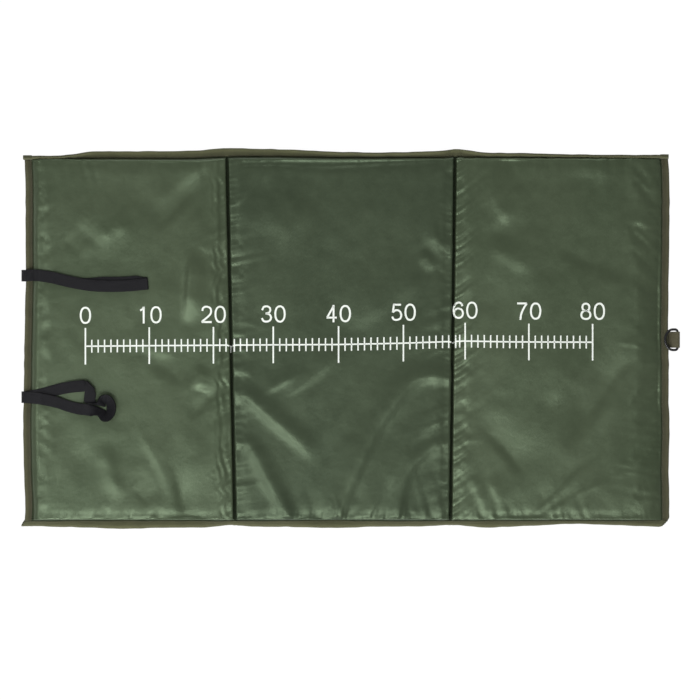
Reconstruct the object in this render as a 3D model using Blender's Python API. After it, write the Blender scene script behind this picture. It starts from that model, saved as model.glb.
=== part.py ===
# Folding unhooking mat: three padded panels joined by two fold seams, bound all round with
# woven tape, with two elastic loops on the left edge and a D-ring on the right edge.
# Metres, +X to the right, +Y to the rear, +Z up. The origin is on the ground under the middle.
import math

import bmesh
import bpy
from mathutils import Matrix, Vector

# The mat as it lies open
MAT_LENGTH = 1.000
MAT_DEPTH = 0.582
CROWN_HEIGHT = 0.024
SEAM_HEIGHT = 0.008

# Where the two fold seams meet the rear and the front edge
LEFT_FOLD_REAR_X = -0.1866
LEFT_FOLD_FRONT_X = -0.1737
RIGHT_FOLD_REAR_X = 0.1685
RIGHT_FOLD_FRONT_X = 0.1612

# Cloth, and the gap that neighbouring pieces keep
CLOTH = 0.0008
GAP = 0.0003
ROUND_EDGE_ANGLE = math.radians(50)

# Padding: how far in the edge is rounded over on top and under the panel
TOP_ROLL = 0.022
BASE_ROLL = 0.014
EDGE_LIFT_SHARE = 0.88
ROLL_SHARES = (0.0, 0.05, 0.25, 0.6, 1.0)
FOAM_SKIPPED_STEPS = 2
LINES_ACROSS = 3
LINES_ALONG = 5

# Binding tape, folded over the edge of both cloths
TAPE_WIDTH = 0.0115
TAPE_THICKNESS = 0.0008
TAPE_FOLD = 0.0013
TAPE_ROUNDING_SHARES = ((0.92, 1.0), (0.27, 0.71))
TAPE_TO_PADDING = 0.001
MITRE_GAP = 0.00022

# Stitched web between two panels
WEB_WIDTH = 0.0048
STITCH_RIDGE_WIDTH = 0.0014
STITCH_RIDGE_HEIGHT = 0.0004
WEB_TO_PADDING = 0.0003
FOLDED_GAP = 0.001

# Elastic loops
LOOP_WIDTH = 0.018
ELASTIC = 0.0015
LAYER_GAP = 0.0009
UPPER_LOOP_Y = 0.0997
LOWER_LOOP_Y = -0.0894
LOOP_REACH = 0.190
SEWN_LENGTH = 0.011
UPPER_ROUTE_SHARES = (
    (0.0, 0.0),
    (0.082, 0.003),
    (0.21, -0.014),
    (0.365, -0.050),
    (0.52, -0.078),
    (0.675, -0.087),
    (0.835, -0.084),
    (1.0, -0.068),
)
UPPER_RINGS = 5
TURN_RINGS = 4
# Lower loop, as shares of the elastic's width from the point where it leaves the edge
RUN_OUT_SHARES = ((0.0, 0.0), (1.3, 0.25), (2.7, 0.62), (4.0, 0.88), (5.1, 0.98))
CREASE_SHARE = (5.68, 1.01)
DROP_SHARES = ((5.66, 0.3), (5.64, -0.2))
CURL_CENTRE_SHARE = (6.98, -0.93)
CURL_SIZE_SHARE = (0.62, 0.90)
CURL_LEAN = math.radians(48)
CURL_START = math.radians(148)
CURL_TURN = math.radians(-296)
CURL_KEYS = 9
CURL_RINGS = 3
RUN_BACK_SHARES = ((5.35, -1.08), (4.55, -0.98), (3.6, -0.73), (2.69, -0.42), (1.3, -0.12))
BACK_LIFT_SHARES = (0.30, 0.10, 0.12, 0.22, 0.22)
RUN_RINGS = 3

# D-ring and the webbing tab that holds its bar
RING_WIRE = 0.004
RING_WIDTH = 0.036
RING_REACH = 0.0198
RING_ARM = 0.007
RING_CORNER = 0.004
RING_TILT = math.radians(12)
RING_SIDES = 8
BOW_STEPS = 14
CORNER_STEPS = 4
BAR_OUT = 0.0148
TAB_WIDTH = 0.025
WEBBING = 0.0015
TAB_BEND_OUT = 0.002
EYE_STEPS = 10
EYE_START = math.radians(120)
EYE_END = math.radians(-78)

HALF_LENGTH = MAT_LENGTH / 2
HALF_DEPTH = MAT_DEPTH / 2
TOP_HEM = SEAM_HEIGHT + GAP / 2 + CLOTH
BASE_HEM = SEAM_HEIGHT - GAP / 2 - CLOTH
TAPE_INSIDE = GAP / 2 + CLOTH + GAP
LIP_TOP = SEAM_HEIGHT + TAPE_INSIDE + TAPE_THICKNESS
LIP_BOTTOM = SEAM_HEIGHT - TAPE_INSIDE - TAPE_THICKNESS

# Distance in from a bound edge, and from a fold seam, to the cloth's rim and to the sewn line
EDGE_RIM, EDGE_SEWN = TAPE_FOLD + GAP, TAPE_WIDTH + TAPE_TO_PADDING
FOLD_RIM, FOLD_SEWN = WEB_WIDTH / 2 + GAP, WEB_WIDTH / 2 + GAP + WEB_TO_PADDING

COLOURS = {
    "cover_cloth": ((0.075, 0.105, 0.060), 0.45, 0.0),
    "base_cloth": ((0.045, 0.060, 0.040), 0.60, 0.0),
    "foam": ((0.55, 0.55, 0.52), 0.95, 0.0),
    "binding_tape": ((0.085, 0.075, 0.042), 0.80, 0.0),
    "elastic": ((0.018, 0.018, 0.021), 0.85, 0.0),
    "webbing": ((0.085, 0.082, 0.043), 0.80, 0.0),
    "ring_plastic": ((0.008, 0.008, 0.008), 0.30, 0.0),
}


def clear_scene():
    for old in list(bpy.data.objects):
        bpy.data.objects.remove(old)


def finish(name, bm, finish_name, outward=True):
    """Make an object of a mesh, with a material of its own."""
    if outward:
        bmesh.ops.recalc_face_normals(bm, faces=bm.faces)
    mesh = bpy.data.meshes.new(name)
    bm.to_mesh(mesh)
    bm.free()
    mesh.shade_smooth()
    mesh.set_sharp_from_angle(angle=ROUND_EDGE_ANGLE)
    piece = bpy.data.objects.new(name, mesh)
    bpy.context.collection.objects.link(piece)
    colour, roughness, metallic = COLOURS[finish_name]
    material = bpy.data.materials.new(name)
    material.use_nodes = True
    shader = material.node_tree.nodes["Principled BSDF"]
    shader.inputs["Base Color"].default_value = (*colour, 1)
    shader.inputs["Roughness"].default_value = roughness
    shader.inputs["Metallic"].default_value = metallic
    mesh.materials.append(material)
    return piece


def loft(name, rings, finish_name, closed=False):
    """Skin a row of rings, with flat ends unless the row closes on itself."""
    bm = bmesh.new()
    rows = [[bm.verts.new(p) for p in ring] for ring in rings]
    count = len(rows[0])
    for i in range(len(rows) if closed else len(rows) - 1):
        here, there = rows[i], rows[(i + 1) % len(rows)]
        for k in range(count):
            after = (k + 1) % count
            bm.faces.new((here[k], here[after], there[after], there[k]))
    if not closed:
        bm.faces.new(rows[0])
        bm.faces.new(reversed(rows[-1]))
    return finish(name, bm, finish_name)


# Plan of the mat: each side of a panel is a line x(y)
def line_x(rear_x, front_x):
    return lambda y: front_x + (rear_x - front_x) * (y + HALF_DEPTH) / MAT_DEPTH


left_edge = line_x(-HALF_LENGTH, -HALF_LENGTH)
right_edge = line_x(HALF_LENGTH, HALF_LENGTH)
left_fold = line_x(LEFT_FOLD_REAR_X, LEFT_FOLD_FRONT_X)
right_fold = line_x(RIGHT_FOLD_REAR_X, RIGHT_FOLD_FRONT_X)
EDGE, FOLD = (EDGE_RIM, EDGE_SEWN), (FOLD_RIM, FOLD_SEWN)
PANELS = {
    "left": (left_edge, left_fold, EDGE, FOLD),
    "middle": (left_fold, right_fold, FOLD, FOLD),
    "right": (right_fold, right_edge, FOLD, EDGE),
}


# Padding: how high the cloth stands at a distance inside the sewn lines
def roll(distance, width):
    inside = min(max(distance, 0.0) / width, 1.0)
    return math.sqrt(1.0 - (1.0 - inside) ** 2)


def swell(distance, half):
    crown = math.sin(math.pi / 2 * min(max(distance, 0.0) / half, 1.0))
    return EDGE_LIFT_SHARE * roll(distance, TOP_ROLL) + (1.0 - EDGE_LIFT_SHARE) * crown


def top_height(across, along, half_width, half_depth):
    lift = swell(across, half_width) * swell(along, half_depth)
    return TOP_HEM + (CROWN_HEIGHT - TOP_HEM) * lift


def base_height(across, along, half_width, half_depth):
    return BASE_HEM * (1.0 - roll(across, BASE_ROLL) * roll(along, BASE_ROLL))


def stations(low, high, lines, shift=0.0, first=0, rims=None):
    """Places between two sewn lines, each with its distance inside the nearer one."""
    near = [share * TOP_ROLL + shift for share in ROLL_SHARES[first:]]
    start, end = low + near[-1], high - near[-1]
    places = [low + d for d in near]
    places += [start + (end - start) * (k + 1) / (lines + 1) for k in range(lines)]
    places += [high - d for d in reversed(near)]
    if rims:
        places = [low - rims[0], *places, high + rims[1]]
    return [(p, min(p - low, high - p) - shift) for p in places]


def panel_grid(side, height, shift=0.0, first=0, rimmed=True):
    """Rows of points over a panel, from the front to the rear."""
    low_x, high_x, low_side, high_side = PANELS[side]
    front, rear = -HALF_DEPTH + EDGE_SEWN, HALF_DEPTH - EDGE_SEWN
    hem = EDGE_SEWN - EDGE_RIM
    rims_y = (hem, hem) if rimmed else None
    rims_x = (low_side[1] - low_side[0], high_side[1] - high_side[0]) if rimmed else None
    rows = []
    for y, along in stations(front, rear, LINES_ALONG, shift, first, rims_y):
        low, high = low_x(y) + low_side[1], high_x(y) - high_side[1]
        row = []
        for x, across in stations(low, high, LINES_ACROSS, shift, first, rims_x):
            row.append((x, y, height(across, along, (high - low) / 2, (rear - front) / 2)))
        rows.append(row)
    return rows


def grid_faces(bm, rows, upward):
    verts = [[bm.verts.new(p) for p in row] for row in rows]
    for front, rear in zip(verts, verts[1:]):
        for k in range(len(front) - 1):
            corners = (front[k], front[k + 1], rear[k + 1], rear[k])
            bm.faces.new(corners if upward else corners[::-1])
    return verts


def cover(name, side, height, upward, finish_name):
    """One cloth of a panel, as thick as the cloth is."""
    bm = bmesh.new()
    grid_faces(bm, panel_grid(side, height), upward)
    piece = finish(name, bm, finish_name, outward=False)
    wall = piece.modifiers.new("cloth", "SOLIDIFY")
    wall.thickness = CLOTH
    wall.offset = -1
    wall.use_even_offset = True
    return piece


def foam_pad(name, side):
    """The foam slab, which fills the space between the two cloths."""
    inset = CLOTH + GAP
    tops = panel_grid(
        side, lambda *at: top_height(*at) - inset, inset, FOAM_SKIPPED_STEPS, False
    )
    bottoms = panel_grid(
        side, lambda *at: base_height(*at) + inset, inset, FOAM_SKIPPED_STEPS, False
    )
    bm = bmesh.new()
    upper = grid_faces(bm, tops, True)
    lower = grid_faces(bm, bottoms, False)
    for rows in ((upper[0], lower[0]), (upper[-1], lower[-1])):
        for k in range(len(rows[0]) - 1):
            bm.faces.new((rows[0][k], rows[0][k + 1], rows[1][k + 1], rows[1][k]))
    for k in (0, -1):
        for j in range(len(upper) - 1):
            bm.faces.new((upper[j][k], upper[j + 1][k], lower[j + 1][k], lower[j][k]))
    return finish(name, bm, "foam")


def tape_profile():
    """Points (inset from the edge, height) round the folded tape."""
    half = TAPE_INSIDE + TAPE_THICKNESS
    rounded = [(TAPE_FOLD * a, half * b) for a, b in TAPE_ROUNDING_SHARES]
    outer = [(TAPE_WIDTH, half), *rounded, (0.0, 0.0)]
    outer += [(a, -b) for a, b in reversed(rounded)] + [(TAPE_WIDTH, -half)]
    inner = [(TAPE_WIDTH, -TAPE_INSIDE), (TAPE_FOLD, -TAPE_INSIDE)]
    inner += [(TAPE_FOLD, TAPE_INSIDE), (TAPE_WIDTH, TAPE_INSIDE)]
    return outer + inner


def binding(name, corner, along, inward, ends, skews):
    """Tape on a straight edge. An end leans by its skew for each step in from the edge."""
    rings = []
    for end, skew in zip(ends, skews):
        rings.append(
            [
                corner + along * (end + a * skew) + inward * a + Vector((0, 0, b))
                for a, b in tape_profile()
            ]
        )
    return loft(name, rings, "binding_tape")


def edge_bindings():
    right, back, front = Vector((1, 0, 0)), Vector((0, 1, 0)), Vector((0, -1, 0))
    for name, x, inward in (("left", -HALF_LENGTH, right), ("right", HALF_LENGTH, -right)):
        middle = Vector((x, 0, SEAM_HEIGHT))
        reach = HALF_DEPTH - MITRE_GAP
        binding("binding_" + name, middle, back, inward, (-reach, reach), (1, -1))
    for row, y, inward in (("front", -HALF_DEPTH, back), ("rear", HALF_DEPTH, front)):
        for side, (low_x, high_x, low_side, high_side) in PANELS.items():
            lean = inward.y
            low, high = low_x(y), high_x(y)
            low_skew = 1 if low_side is EDGE else lean * (low_x(HALF_DEPTH) - low_x(0)) / HALF_DEPTH
            high_skew = (
                -1 if high_side is EDGE else lean * (high_x(HALF_DEPTH) - high_x(0)) / HALF_DEPTH
            )
            low += MITRE_GAP if low_side is EDGE else GAP
            high -= MITRE_GAP if high_side is EDGE else GAP
            middle = Vector((0, y, SEAM_HEIGHT))
            name = f"binding_{row}_{side}"
            binding(name, middle, right, inward, (low, high), (low_skew, high_skew))


def fold_web(name, seam):
    """The strip where both cloths are stitched together, with its row of stitches."""
    half, thick = WEB_WIDTH / 2, GAP / 2 + CLOTH
    ridge, top = STITCH_RIDGE_WIDTH / 2, GAP / 2 + CLOTH + STITCH_RIDGE_HEIGHT
    profile = [(-half, -thick), (half, -thick), (half, thick), (ridge, thick)]
    profile += [(ridge / 2, top), (-ridge / 2, top), (-ridge, thick), (-half, thick)]
    reach = HALF_DEPTH - TAPE_WIDTH - GAP
    rings = [
        [Vector((seam(y) + u, y, SEAM_HEIGHT + v)) for u, v in profile] for y in (-reach, reach)
    ]
    return loft(name, rings, "cover_cloth")


# Elastic and webbing: a band is a row of (centre, half-width vector, half-thickness vector)
def top_of_left_panel(x, y):
    """The height of the binding or of the top cloth at a place on the left panel."""
    low, high = -HALF_LENGTH + EDGE_SEWN, left_fold(y) - FOLD_SEWN
    front, rear = -HALF_DEPTH + EDGE_SEWN, HALF_DEPTH - EDGE_SEWN
    if x < low:
        return LIP_TOP
    across, along = min(x - low, high - x), min(y - front, rear - y)
    return top_height(across, along, (high - low) / 2, (rear - front) / 2)


def direction(row, k):
    """Which way a row of points runs at one of them, also at a curved row's ends."""
    if k == 0:
        return (row[1] - row[0]) * 4 - (row[2] - row[0])
    if k == len(row) - 1:
        return (row[k] - row[k - 1]) * 4 - (row[k] - row[k - 2])
    return row[k + 1] - row[k - 1]


def taut_over(plan):
    """Heights of a loop laid over the left panel, straight where the panel falls away."""
    at, walked = [], 0.0
    for k, place in enumerate(plan):
        walked += (place - plan[k - 1]).length if k else 0.0
        ahead = direction(plan, k).normalized()
        aside = Vector((-ahead.y, ahead.x, 0)) * (LOOP_WIDTH / 2)
        under = [place - aside, place, place + aside]
        at.append((walked, max(top_of_left_panel(p.x, p.y) for p in under) + GAP))
    hull = []
    for p in at:
        while len(hull) > 1:
            (s0, z0), (s1, z1) = hull[-2], hull[-1]
            if (z1 - z0) * (p[0] - s0) > (p[1] - z0) * (s1 - s0):
                break
            hull.pop()
        hull.append(p)
    heights, k = [], 0
    for s, _ in at:
        while k < len(hull) - 2 and hull[k + 1][0] < s:
            k += 1
        (s0, z0), (s1, z1) = hull[k], hull[k + 1]
        heights.append(z0 + (z1 - z0) * (s - s0) / (s1 - s0))
    return heights


def smooth(keys, steps):
    """A smooth row through key vectors, with a number of steps between neighbours."""
    row = []
    padded = [keys[0] * 2 - keys[1], *keys, keys[-1] * 2 - keys[-2]]
    for a, b, c, d in zip(padded, padded[1:], padded[2:], padded[3:]):
        for k in range(steps):
            t = k / steps
            row.append(
                (b * 2 + (c - a) * t + (a * 2 - b * 5 + c * 4 - d) * t**2
                 + (b * 3 - a - c * 3 + d) * t**3) / 2
            )
    return [*row, keys[-1]]


def band(name, centres, widths, width, thickness, finish_name):
    """A flat band along its centres, each with the direction of its width."""
    rings = []
    for k, (centre, across) in enumerate(zip(centres, widths)):
        ahead = direction(centres, k)
        half = across * (width / 2)
        out = across.cross(ahead).normalized() * (thickness / 2)
        near, far = centre - out, centre + out
        rings.append([near - half, near + half, far + half, far - half])
    return loft(name, rings, finish_name)


def arc(centre, radius, start, end, steps):
    """Points in the XZ plane round a centre; an angle of zero points along +X."""
    angles = [start + (end - start) * k / steps for k in range(steps + 1)]
    return [centre + Vector((radius * math.cos(a), 0, radius * math.sin(a))) for a in angles]


LAYER_STEP = ELASTIC + LAYER_GAP
INNER_TURN = LIP_TOP + GAP + ELASTIC / 2 - SEAM_HEIGHT
OUTER_TURN = INNER_TURN + LAYER_STEP
TURN_X = -HALF_LENGTH - GAP


def near_turn(y, radius):
    """The quarter turn of a loop round the lip, from the split up to the top of the lip."""
    middle = Vector((TURN_X, y, SEAM_HEIGHT))
    points = arc(middle, radius, math.pi, math.pi / 2, TURN_RINGS)
    points[0].z += GAP / 2
    return points


def loop_end(name, y):
    """The sewn ends of a loop: both layers pressed together under the binding."""
    middle, radius = Vector((TURN_X, y, SEAM_HEIGHT)), (INNER_TURN + OUTER_TURN) / 2
    centres = arc(middle, radius, -math.pi, -math.pi / 2, TURN_RINGS)
    centres[0].z -= GAP / 2
    centres.append(Vector((-HALF_LENGTH + SEWN_LENGTH, y, SEAM_HEIGHT - radius)))
    widths = [Vector((0, 1, 0))] * len(centres)
    return band(name, centres, widths, LOOP_WIDTH, LAYER_STEP + ELASTIC, "elastic")


def upper_loop(name):
    """A loop of elastic lying flat: out in one layer, round its far end and back on top."""
    keys = [
        Vector((TURN_X + LOOP_REACH * a, UPPER_LOOP_Y + LOOP_REACH * b, 0))
        for a, b in UPPER_ROUTE_SHARES
    ]
    plan = smooth(keys, UPPER_RINGS)
    heights = taut_over(plan)
    lower, sides = [], []
    for k, (p, z) in enumerate(zip(plan, heights)):
        ahead = direction(plan, k).normalized()
        sides.append(Vector((-ahead.y, ahead.x, 0)))
        lower.append(Vector((p.x, p.y, z + ELASTIC / 2)))
    upper = [p + Vector((0, 0, LAYER_STEP)) for p in lower]
    out = Vector((sides[-1].y, -sides[-1].x, 0))
    middle, far = (lower[-1] + upper[-1]) / 2, []
    for k in range(1, TURN_RINGS):
        a = math.pi * k / TURN_RINGS - math.pi / 2
        far.append(middle + (out * math.cos(a) + Vector((0, 0, math.sin(a)))) * (LAYER_STEP / 2))
    start = near_turn(UPPER_LOOP_Y, INNER_TURN)[:-1]
    end = near_turn(UPPER_LOOP_Y, OUTER_TURN)[:-1]
    centres = start + lower + far + upper[::-1] + end[::-1]
    flat = Vector((0, 1, 0))
    widths = [flat] * len(start) + sides + [sides[-1]] * len(far) + sides[::-1] + [flat] * len(end)
    return band(name, centres, widths, LOOP_WIDTH, ELASTIC, "elastic")


def on_mat(share, lift):
    """A place of the lower loop's centre line, lifted off the panel."""
    x, y = TURN_X + LOOP_WIDTH * share[0], LOWER_LOOP_Y + LOOP_WIDTH * share[1]
    return Vector((x, y, top_of_left_panel(x, y) + GAP + ELASTIC / 2 + lift))


def lower_loop(name):
    """A loop of elastic that fell open: out, over a crease, round a leaning curl and back."""
    flat = Vector((0, 1, 0))
    keys = [
        Vector((TURN_X + LOOP_WIDTH * a, LOWER_LOOP_Y + LOOP_WIDTH * b, 0))
        for a, b in RUN_OUT_SHARES
    ]
    plan = smooth(keys, RUN_RINGS)
    heights = taut_over(plan)
    out = [Vector((p.x, p.y, z + ELASTIC / 2)) for p, z in zip(plan, heights)]
    # The crease runs slantwise across the band, so its width there is the diagonal's
    slant, outward = Vector((-1, 1, 0)), Vector((1, 1, 0)).normalized()
    low, high = on_mat(CREASE_SHARE, 0), on_mat(CREASE_SHARE, LAYER_STEP)
    crease = [low, (low + high) / 2 + outward * (LAYER_STEP / 2), high]
    # Down from the crease, twisting on to its edge and round the curl
    centres = [on_mat(share, LAYER_STEP) for share in DROP_SHARES]
    widths = [Vector((-1, 0, 0))] * len(centres)
    rise = LOOP_WIDTH / 2 * math.sin(CURL_LEAN)
    for k in range(CURL_KEYS):
        a = CURL_START + CURL_TURN * k / (CURL_KEYS - 1)
        share = (
            CURL_CENTRE_SHARE[0] + CURL_SIZE_SHARE[0] * math.cos(a),
            CURL_CENTRE_SHARE[1] + CURL_SIZE_SHARE[1] * math.sin(a),
        )
        centres.append(on_mat(share, rise))
        lean = math.cos(CURL_LEAN)
        widths.append(Vector((lean * math.cos(a), lean * math.sin(a), math.sin(CURL_LEAN))))
    # Back to the edge, lying over the first run where the two meet
    for share, lift in zip(RUN_BACK_SHARES, BACK_LIFT_SHARES):
        centres.append(on_mat(share, LOOP_WIDTH * lift))
        widths.append(-flat)
    centres = smooth(centres, CURL_RINGS)
    widths = [w.normalized() for w in smooth(widths, CURL_RINGS)]
    start = near_turn(LOWER_LOOP_Y, INNER_TURN)[:-1]
    end = near_turn(LOWER_LOOP_Y, OUTER_TURN)
    row = start + out + crease + centres + end[::-1]
    sides = [flat] * (len(start) + len(out)) + [slant] * len(crease) + widths + [-flat] * len(end)
    return band(name, row, sides, LOOP_WIDTH, ELASTIC, "elastic")


# The D-ring leans on the lip, and its bar lies in the eye of the tab
BAR_X = HALF_LENGTH + BAR_OUT
LIP_CORNER_X = HALF_LENGTH - TAPE_FOLD * TAPE_ROUNDING_SHARES[0][0]
BAR_Z = (
    LIP_TOP
    + (RING_WIRE / 2 + GAP) / math.cos(RING_TILT)
    - (BAR_X - LIP_CORNER_X) * math.tan(RING_TILT)
)


def d_ring(name):
    """A moulded D-ring, modelled flat about its bar and tilted to rest on the lip."""
    half = (RING_WIDTH - RING_WIRE) / 2
    path = []
    for k in range(CORNER_STEPS + 1):
        a = math.pi / 2 * k / CORNER_STEPS
        path.append((-RING_CORNER * (1 - math.cos(a)), half - RING_CORNER * (1 - math.sin(a))))
    bow = RING_REACH - RING_ARM
    for k in range(BOW_STEPS + 1):
        a = math.pi * k / BOW_STEPS
        path.append((-RING_ARM - bow * math.sin(a), half * math.cos(a)))
    path += [(u, -v) for u, v in reversed(path[: CORNER_STEPS + 1])]
    rings = []
    for k, (u, v) in enumerate(path):
        before, after = path[k - 1], path[(k + 1) % len(path)]
        ahead = Vector((after[0] - before[0], after[1] - before[1], 0)).normalized()
        side = Vector((-ahead.y, ahead.x, 0))
        rings.append(
            [
                Vector((u, v, 0))
                + (side * math.cos(a) + Vector((0, 0, math.sin(a)))) * (RING_WIRE / 2)
                for a in (2 * math.pi * s / RING_SIDES for s in range(RING_SIDES))
            ]
        )
    piece = loft(name, rings, "ring_plastic", closed=True)
    piece.matrix_world = Matrix.Translation((BAR_X, 0, BAR_Z)) @ Matrix.Rotation(RING_TILT, 4, "Y")
    return piece


def ring_tab(name):
    """A strip of webbing sewn under the binding and folded round the D-ring's bar."""
    step = WEBBING + GAP
    high = LIP_BOTTOM - GAP - WEBBING / 2
    bar = Vector((BAR_X, 0, BAR_Z))
    eye = arc(bar, RING_WIRE / 2 + GAP + WEBBING / 2, EYE_START, EYE_END, EYE_STEPS)
    sewn_x, bend_x = HALF_LENGTH - SEWN_LENGTH, HALF_LENGTH + TAB_BEND_OUT
    upper = [Vector((sewn_x, 0, high)), Vector((HALF_LENGTH, 0, high)), Vector((bend_x, 0, high))]
    lower = [p - Vector((0, 0, step)) for p in upper]
    centres = upper + eye + lower[::-1]
    return band(name, centres, [Vector((0, 1, 0))] * len(centres), TAB_WIDTH, WEBBING, "webbing")


def joint_axis(name, place):
    """An empty on a joint's axis, to carry what turns about it."""
    empty = bpy.data.objects.new(name, None)
    empty.location = place
    bpy.context.collection.objects.link(empty)
    return empty


def carry(empty, pieces):
    bpy.context.view_layer.update()
    for piece in pieces:
        piece.parent = empty
        piece.matrix_parent_inverse = empty.matrix_world.inverted()


def build():
    clear_scene()
    for side in PANELS:
        cover("top_cover_" + side, side, top_height, True, "cover_cloth")
        cover("base_cover_" + side, side, base_height, False, "base_cloth")
        foam_pad("foam_pad_" + side, side)
    edge_bindings()
    fold_web("fold_seam_left", left_fold)
    fold_web("fold_seam_right", right_fold)
    upper_loop("elastic_loop_upper")
    lower_loop("elastic_loop_lower")
    loop_end("loop_end_upper", UPPER_LOOP_Y)
    loop_end("loop_end_lower", LOWER_LOOP_Y)
    ring_tab("ring_tab")
    d_ring("d_ring")

    # The right panel folds flat on to the middle one, and the left panel on to both
    right_axis_z = CROWN_HEIGHT + FOLDED_GAP / 2
    left_axis_z = (3 * CROWN_HEIGHT + 2 * FOLDED_GAP) / 2
    loop_axis_x = TURN_X - OUTER_TURN - ELASTIC / 2
    folds = {
        side: joint_axis(f"fold_{side}_axis", (seam(0), 0, z))
        for side, seam, z in (
            ("left", left_fold, left_axis_z),
            ("right", right_fold, right_axis_z),
        )
    }
    objects = bpy.data.objects
    panel_parts = ("top_cover", "base_cover", "foam_pad", "binding_front", "binding_rear")
    edge_parts = {
        "left": ("binding_left", "loop_end_upper", "loop_end_lower"),
        "right": ("binding_right", "ring_tab"),
    }
    for side, names in edge_parts.items():
        carry(folds[side], [objects[n] for n in names])
        carry(folds[side], [objects[f"{part}_{side}"] for part in panel_parts])
    swings = (
        ("elastic_loop_upper", "left", (loop_axis_x, UPPER_LOOP_Y, SEAM_HEIGHT)),
        ("elastic_loop_lower", "left", (loop_axis_x, LOWER_LOOP_Y, SEAM_HEIGHT)),
        ("d_ring", "right", (BAR_X, 0, BAR_Z)),
    )
    for name, side, place in swings:
        axis = joint_axis(name + "_axis", place)
        carry(axis, [objects[name]])
        carry(folds[side], [axis])


build()
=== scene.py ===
# A folding unhooking mat lying open: three padded panels of green nylon bound with woven tape,
# a printed ruler, two elastic loops on the left edge and a D-ring on the right edge.
import math

import bpy
import numpy as np
from mathutils import Matrix, Vector
from mathutils.bvhtree import BVHTree


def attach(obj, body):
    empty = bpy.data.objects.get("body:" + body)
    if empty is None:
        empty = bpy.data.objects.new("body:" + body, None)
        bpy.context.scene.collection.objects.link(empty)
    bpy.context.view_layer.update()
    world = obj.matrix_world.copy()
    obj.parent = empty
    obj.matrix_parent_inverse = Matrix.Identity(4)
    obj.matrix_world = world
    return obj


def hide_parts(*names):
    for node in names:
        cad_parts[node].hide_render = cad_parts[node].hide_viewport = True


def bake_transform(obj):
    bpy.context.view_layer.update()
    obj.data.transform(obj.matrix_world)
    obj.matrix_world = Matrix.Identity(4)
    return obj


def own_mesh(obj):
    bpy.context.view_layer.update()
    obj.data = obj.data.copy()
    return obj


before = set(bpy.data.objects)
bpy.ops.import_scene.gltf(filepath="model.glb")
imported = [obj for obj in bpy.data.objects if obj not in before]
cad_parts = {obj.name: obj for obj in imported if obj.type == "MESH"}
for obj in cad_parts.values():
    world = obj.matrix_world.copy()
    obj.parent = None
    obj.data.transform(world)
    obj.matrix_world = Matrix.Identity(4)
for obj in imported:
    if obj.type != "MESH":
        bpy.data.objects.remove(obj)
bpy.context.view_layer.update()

# The mat's pattern in metres, as the frame has it
mat = {
    "halfLength": 0.500, "halfDepth": 0.291, "seamHeight": 0.008, "crown": 0.024,
    "hem": 0.00095,          # half the thickness of the two cloths sewn together
    # how far in from a sewn line the top rolls up, the roll's share of the height, and how far in
    # the rest of the height is reached
    "rolls": {"left": (0.0110, 0.82, 0.10), "right": (0.0330, 0.62, 0.17),
              "front": (0.0009, 0.93, 0.06), "rear": (0.0040, 0.82, 0.10),
              "fold": (0.0036, 0.86, 0.12)},
    "baseRoll": 0.014,
    "edgeRim": 0.0016, "edgeSewn": 0.0118,    # where the cloth ends and is sewn, from a bound edge
    "foldRim": 0.0027, "foldSewn": 0.0030,    # and from a fold seam
    "leftEdge": (-0.500, -0.500),             # each line's x at the front and at the rear
    "leftFold": (-0.1737, -0.1866),
    "rightFold": (0.1612, 0.1685),
    "rightEdge": (0.500, 0.500),
}
halfLength, halfDepth, level = mat["halfLength"], mat["halfDepth"], mat["seamHeight"]


def lineX(line, y):
    front, rear = mat[line]
    return front + (rear - front) * (y + halfDepth) / (2 * halfDepth)


# Small helpers
def deselectAll():
    if bpy.context.object and bpy.context.object.mode != "OBJECT":
        bpy.ops.object.mode_set(mode="OBJECT")
    bpy.ops.object.select_all(action="DESELECT")


def pick(piece):
    deselectAll()
    piece.select_set(True)
    bpy.context.view_layer.objects.active = piece


def smooth(piece):
    pick(piece)
    bpy.ops.object.shade_smooth()


def readPoints(piece):
    points = np.empty(len(piece.data.vertices) * 3)
    piece.data.vertices.foreach_get("co", points)
    return points.reshape(-1, 3)


def writePoints(piece, points):
    piece.data.vertices.foreach_set("co", np.asarray(points, float).ravel())
    piece.data.update()


def writeMap(piece, places):
    # the cloth's own map, in metres along and across the threads
    layer = piece.data.uv_layers.active or piece.data.uv_layers.new(name="cloth")
    layer.name = "cloth"
    corners = np.empty(len(piece.data.loops), int)
    piece.data.loops.foreach_get("vertex_index", corners)
    layer.data.foreach_set("uv", np.asarray(places, float)[corners].ravel())


def finishWith(piece, kind, **values):
    # adds a modifier, sets it and applies it
    pick(piece)
    bpy.ops.object.modifier_add(type=kind)
    modifier = piece.modifiers[-1]
    for name, value in values.items():
        setattr(modifier, name, value)
    bpy.ops.object.modifier_apply(modifier=modifier.name)


def thicken(piece, thickness, material, degrees=60, bevel=0):
    # gives a strip its thickness, its material and its smooth sides
    finishWith(piece, "SOLIDIFY", thickness=thickness, offset=0)
    if bevel:
        finishWith(piece, "BEVEL", width=thickness * bevel, segments=2, limit_method="ANGLE",
                   angle_limit=math.radians(50))
    piece.data.materials.append(material)
    pick(piece)
    bpy.ops.object.shade_smooth_by_angle(angle=math.radians(degrees))
    return piece


def flatStrip(name, rows):
    # a strip from a grid primitive: rows of points along it, each row with points across it
    rows = np.asarray(rows, float)
    along, across = rows.shape[:2]
    deselectAll()
    bpy.ops.mesh.primitive_grid_add(x_subdivisions=across - 1, y_subdivisions=along - 1, size=1)
    piece = bpy.context.object
    piece.name = piece.data.name = name
    writePoints(piece, rows.reshape(-1, 3))
    u, v = (np.concatenate([[0], np.cumsum(
        np.linalg.norm(np.diff(rows, axis=k), axis=2).mean(1 - k))]) for k in (0, 1))
    writeMap(piece, np.stack(np.meshgrid(v - v[-1] / 2, u), -1).reshape(-1, 2)[:, ::-1])
    return piece


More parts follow.
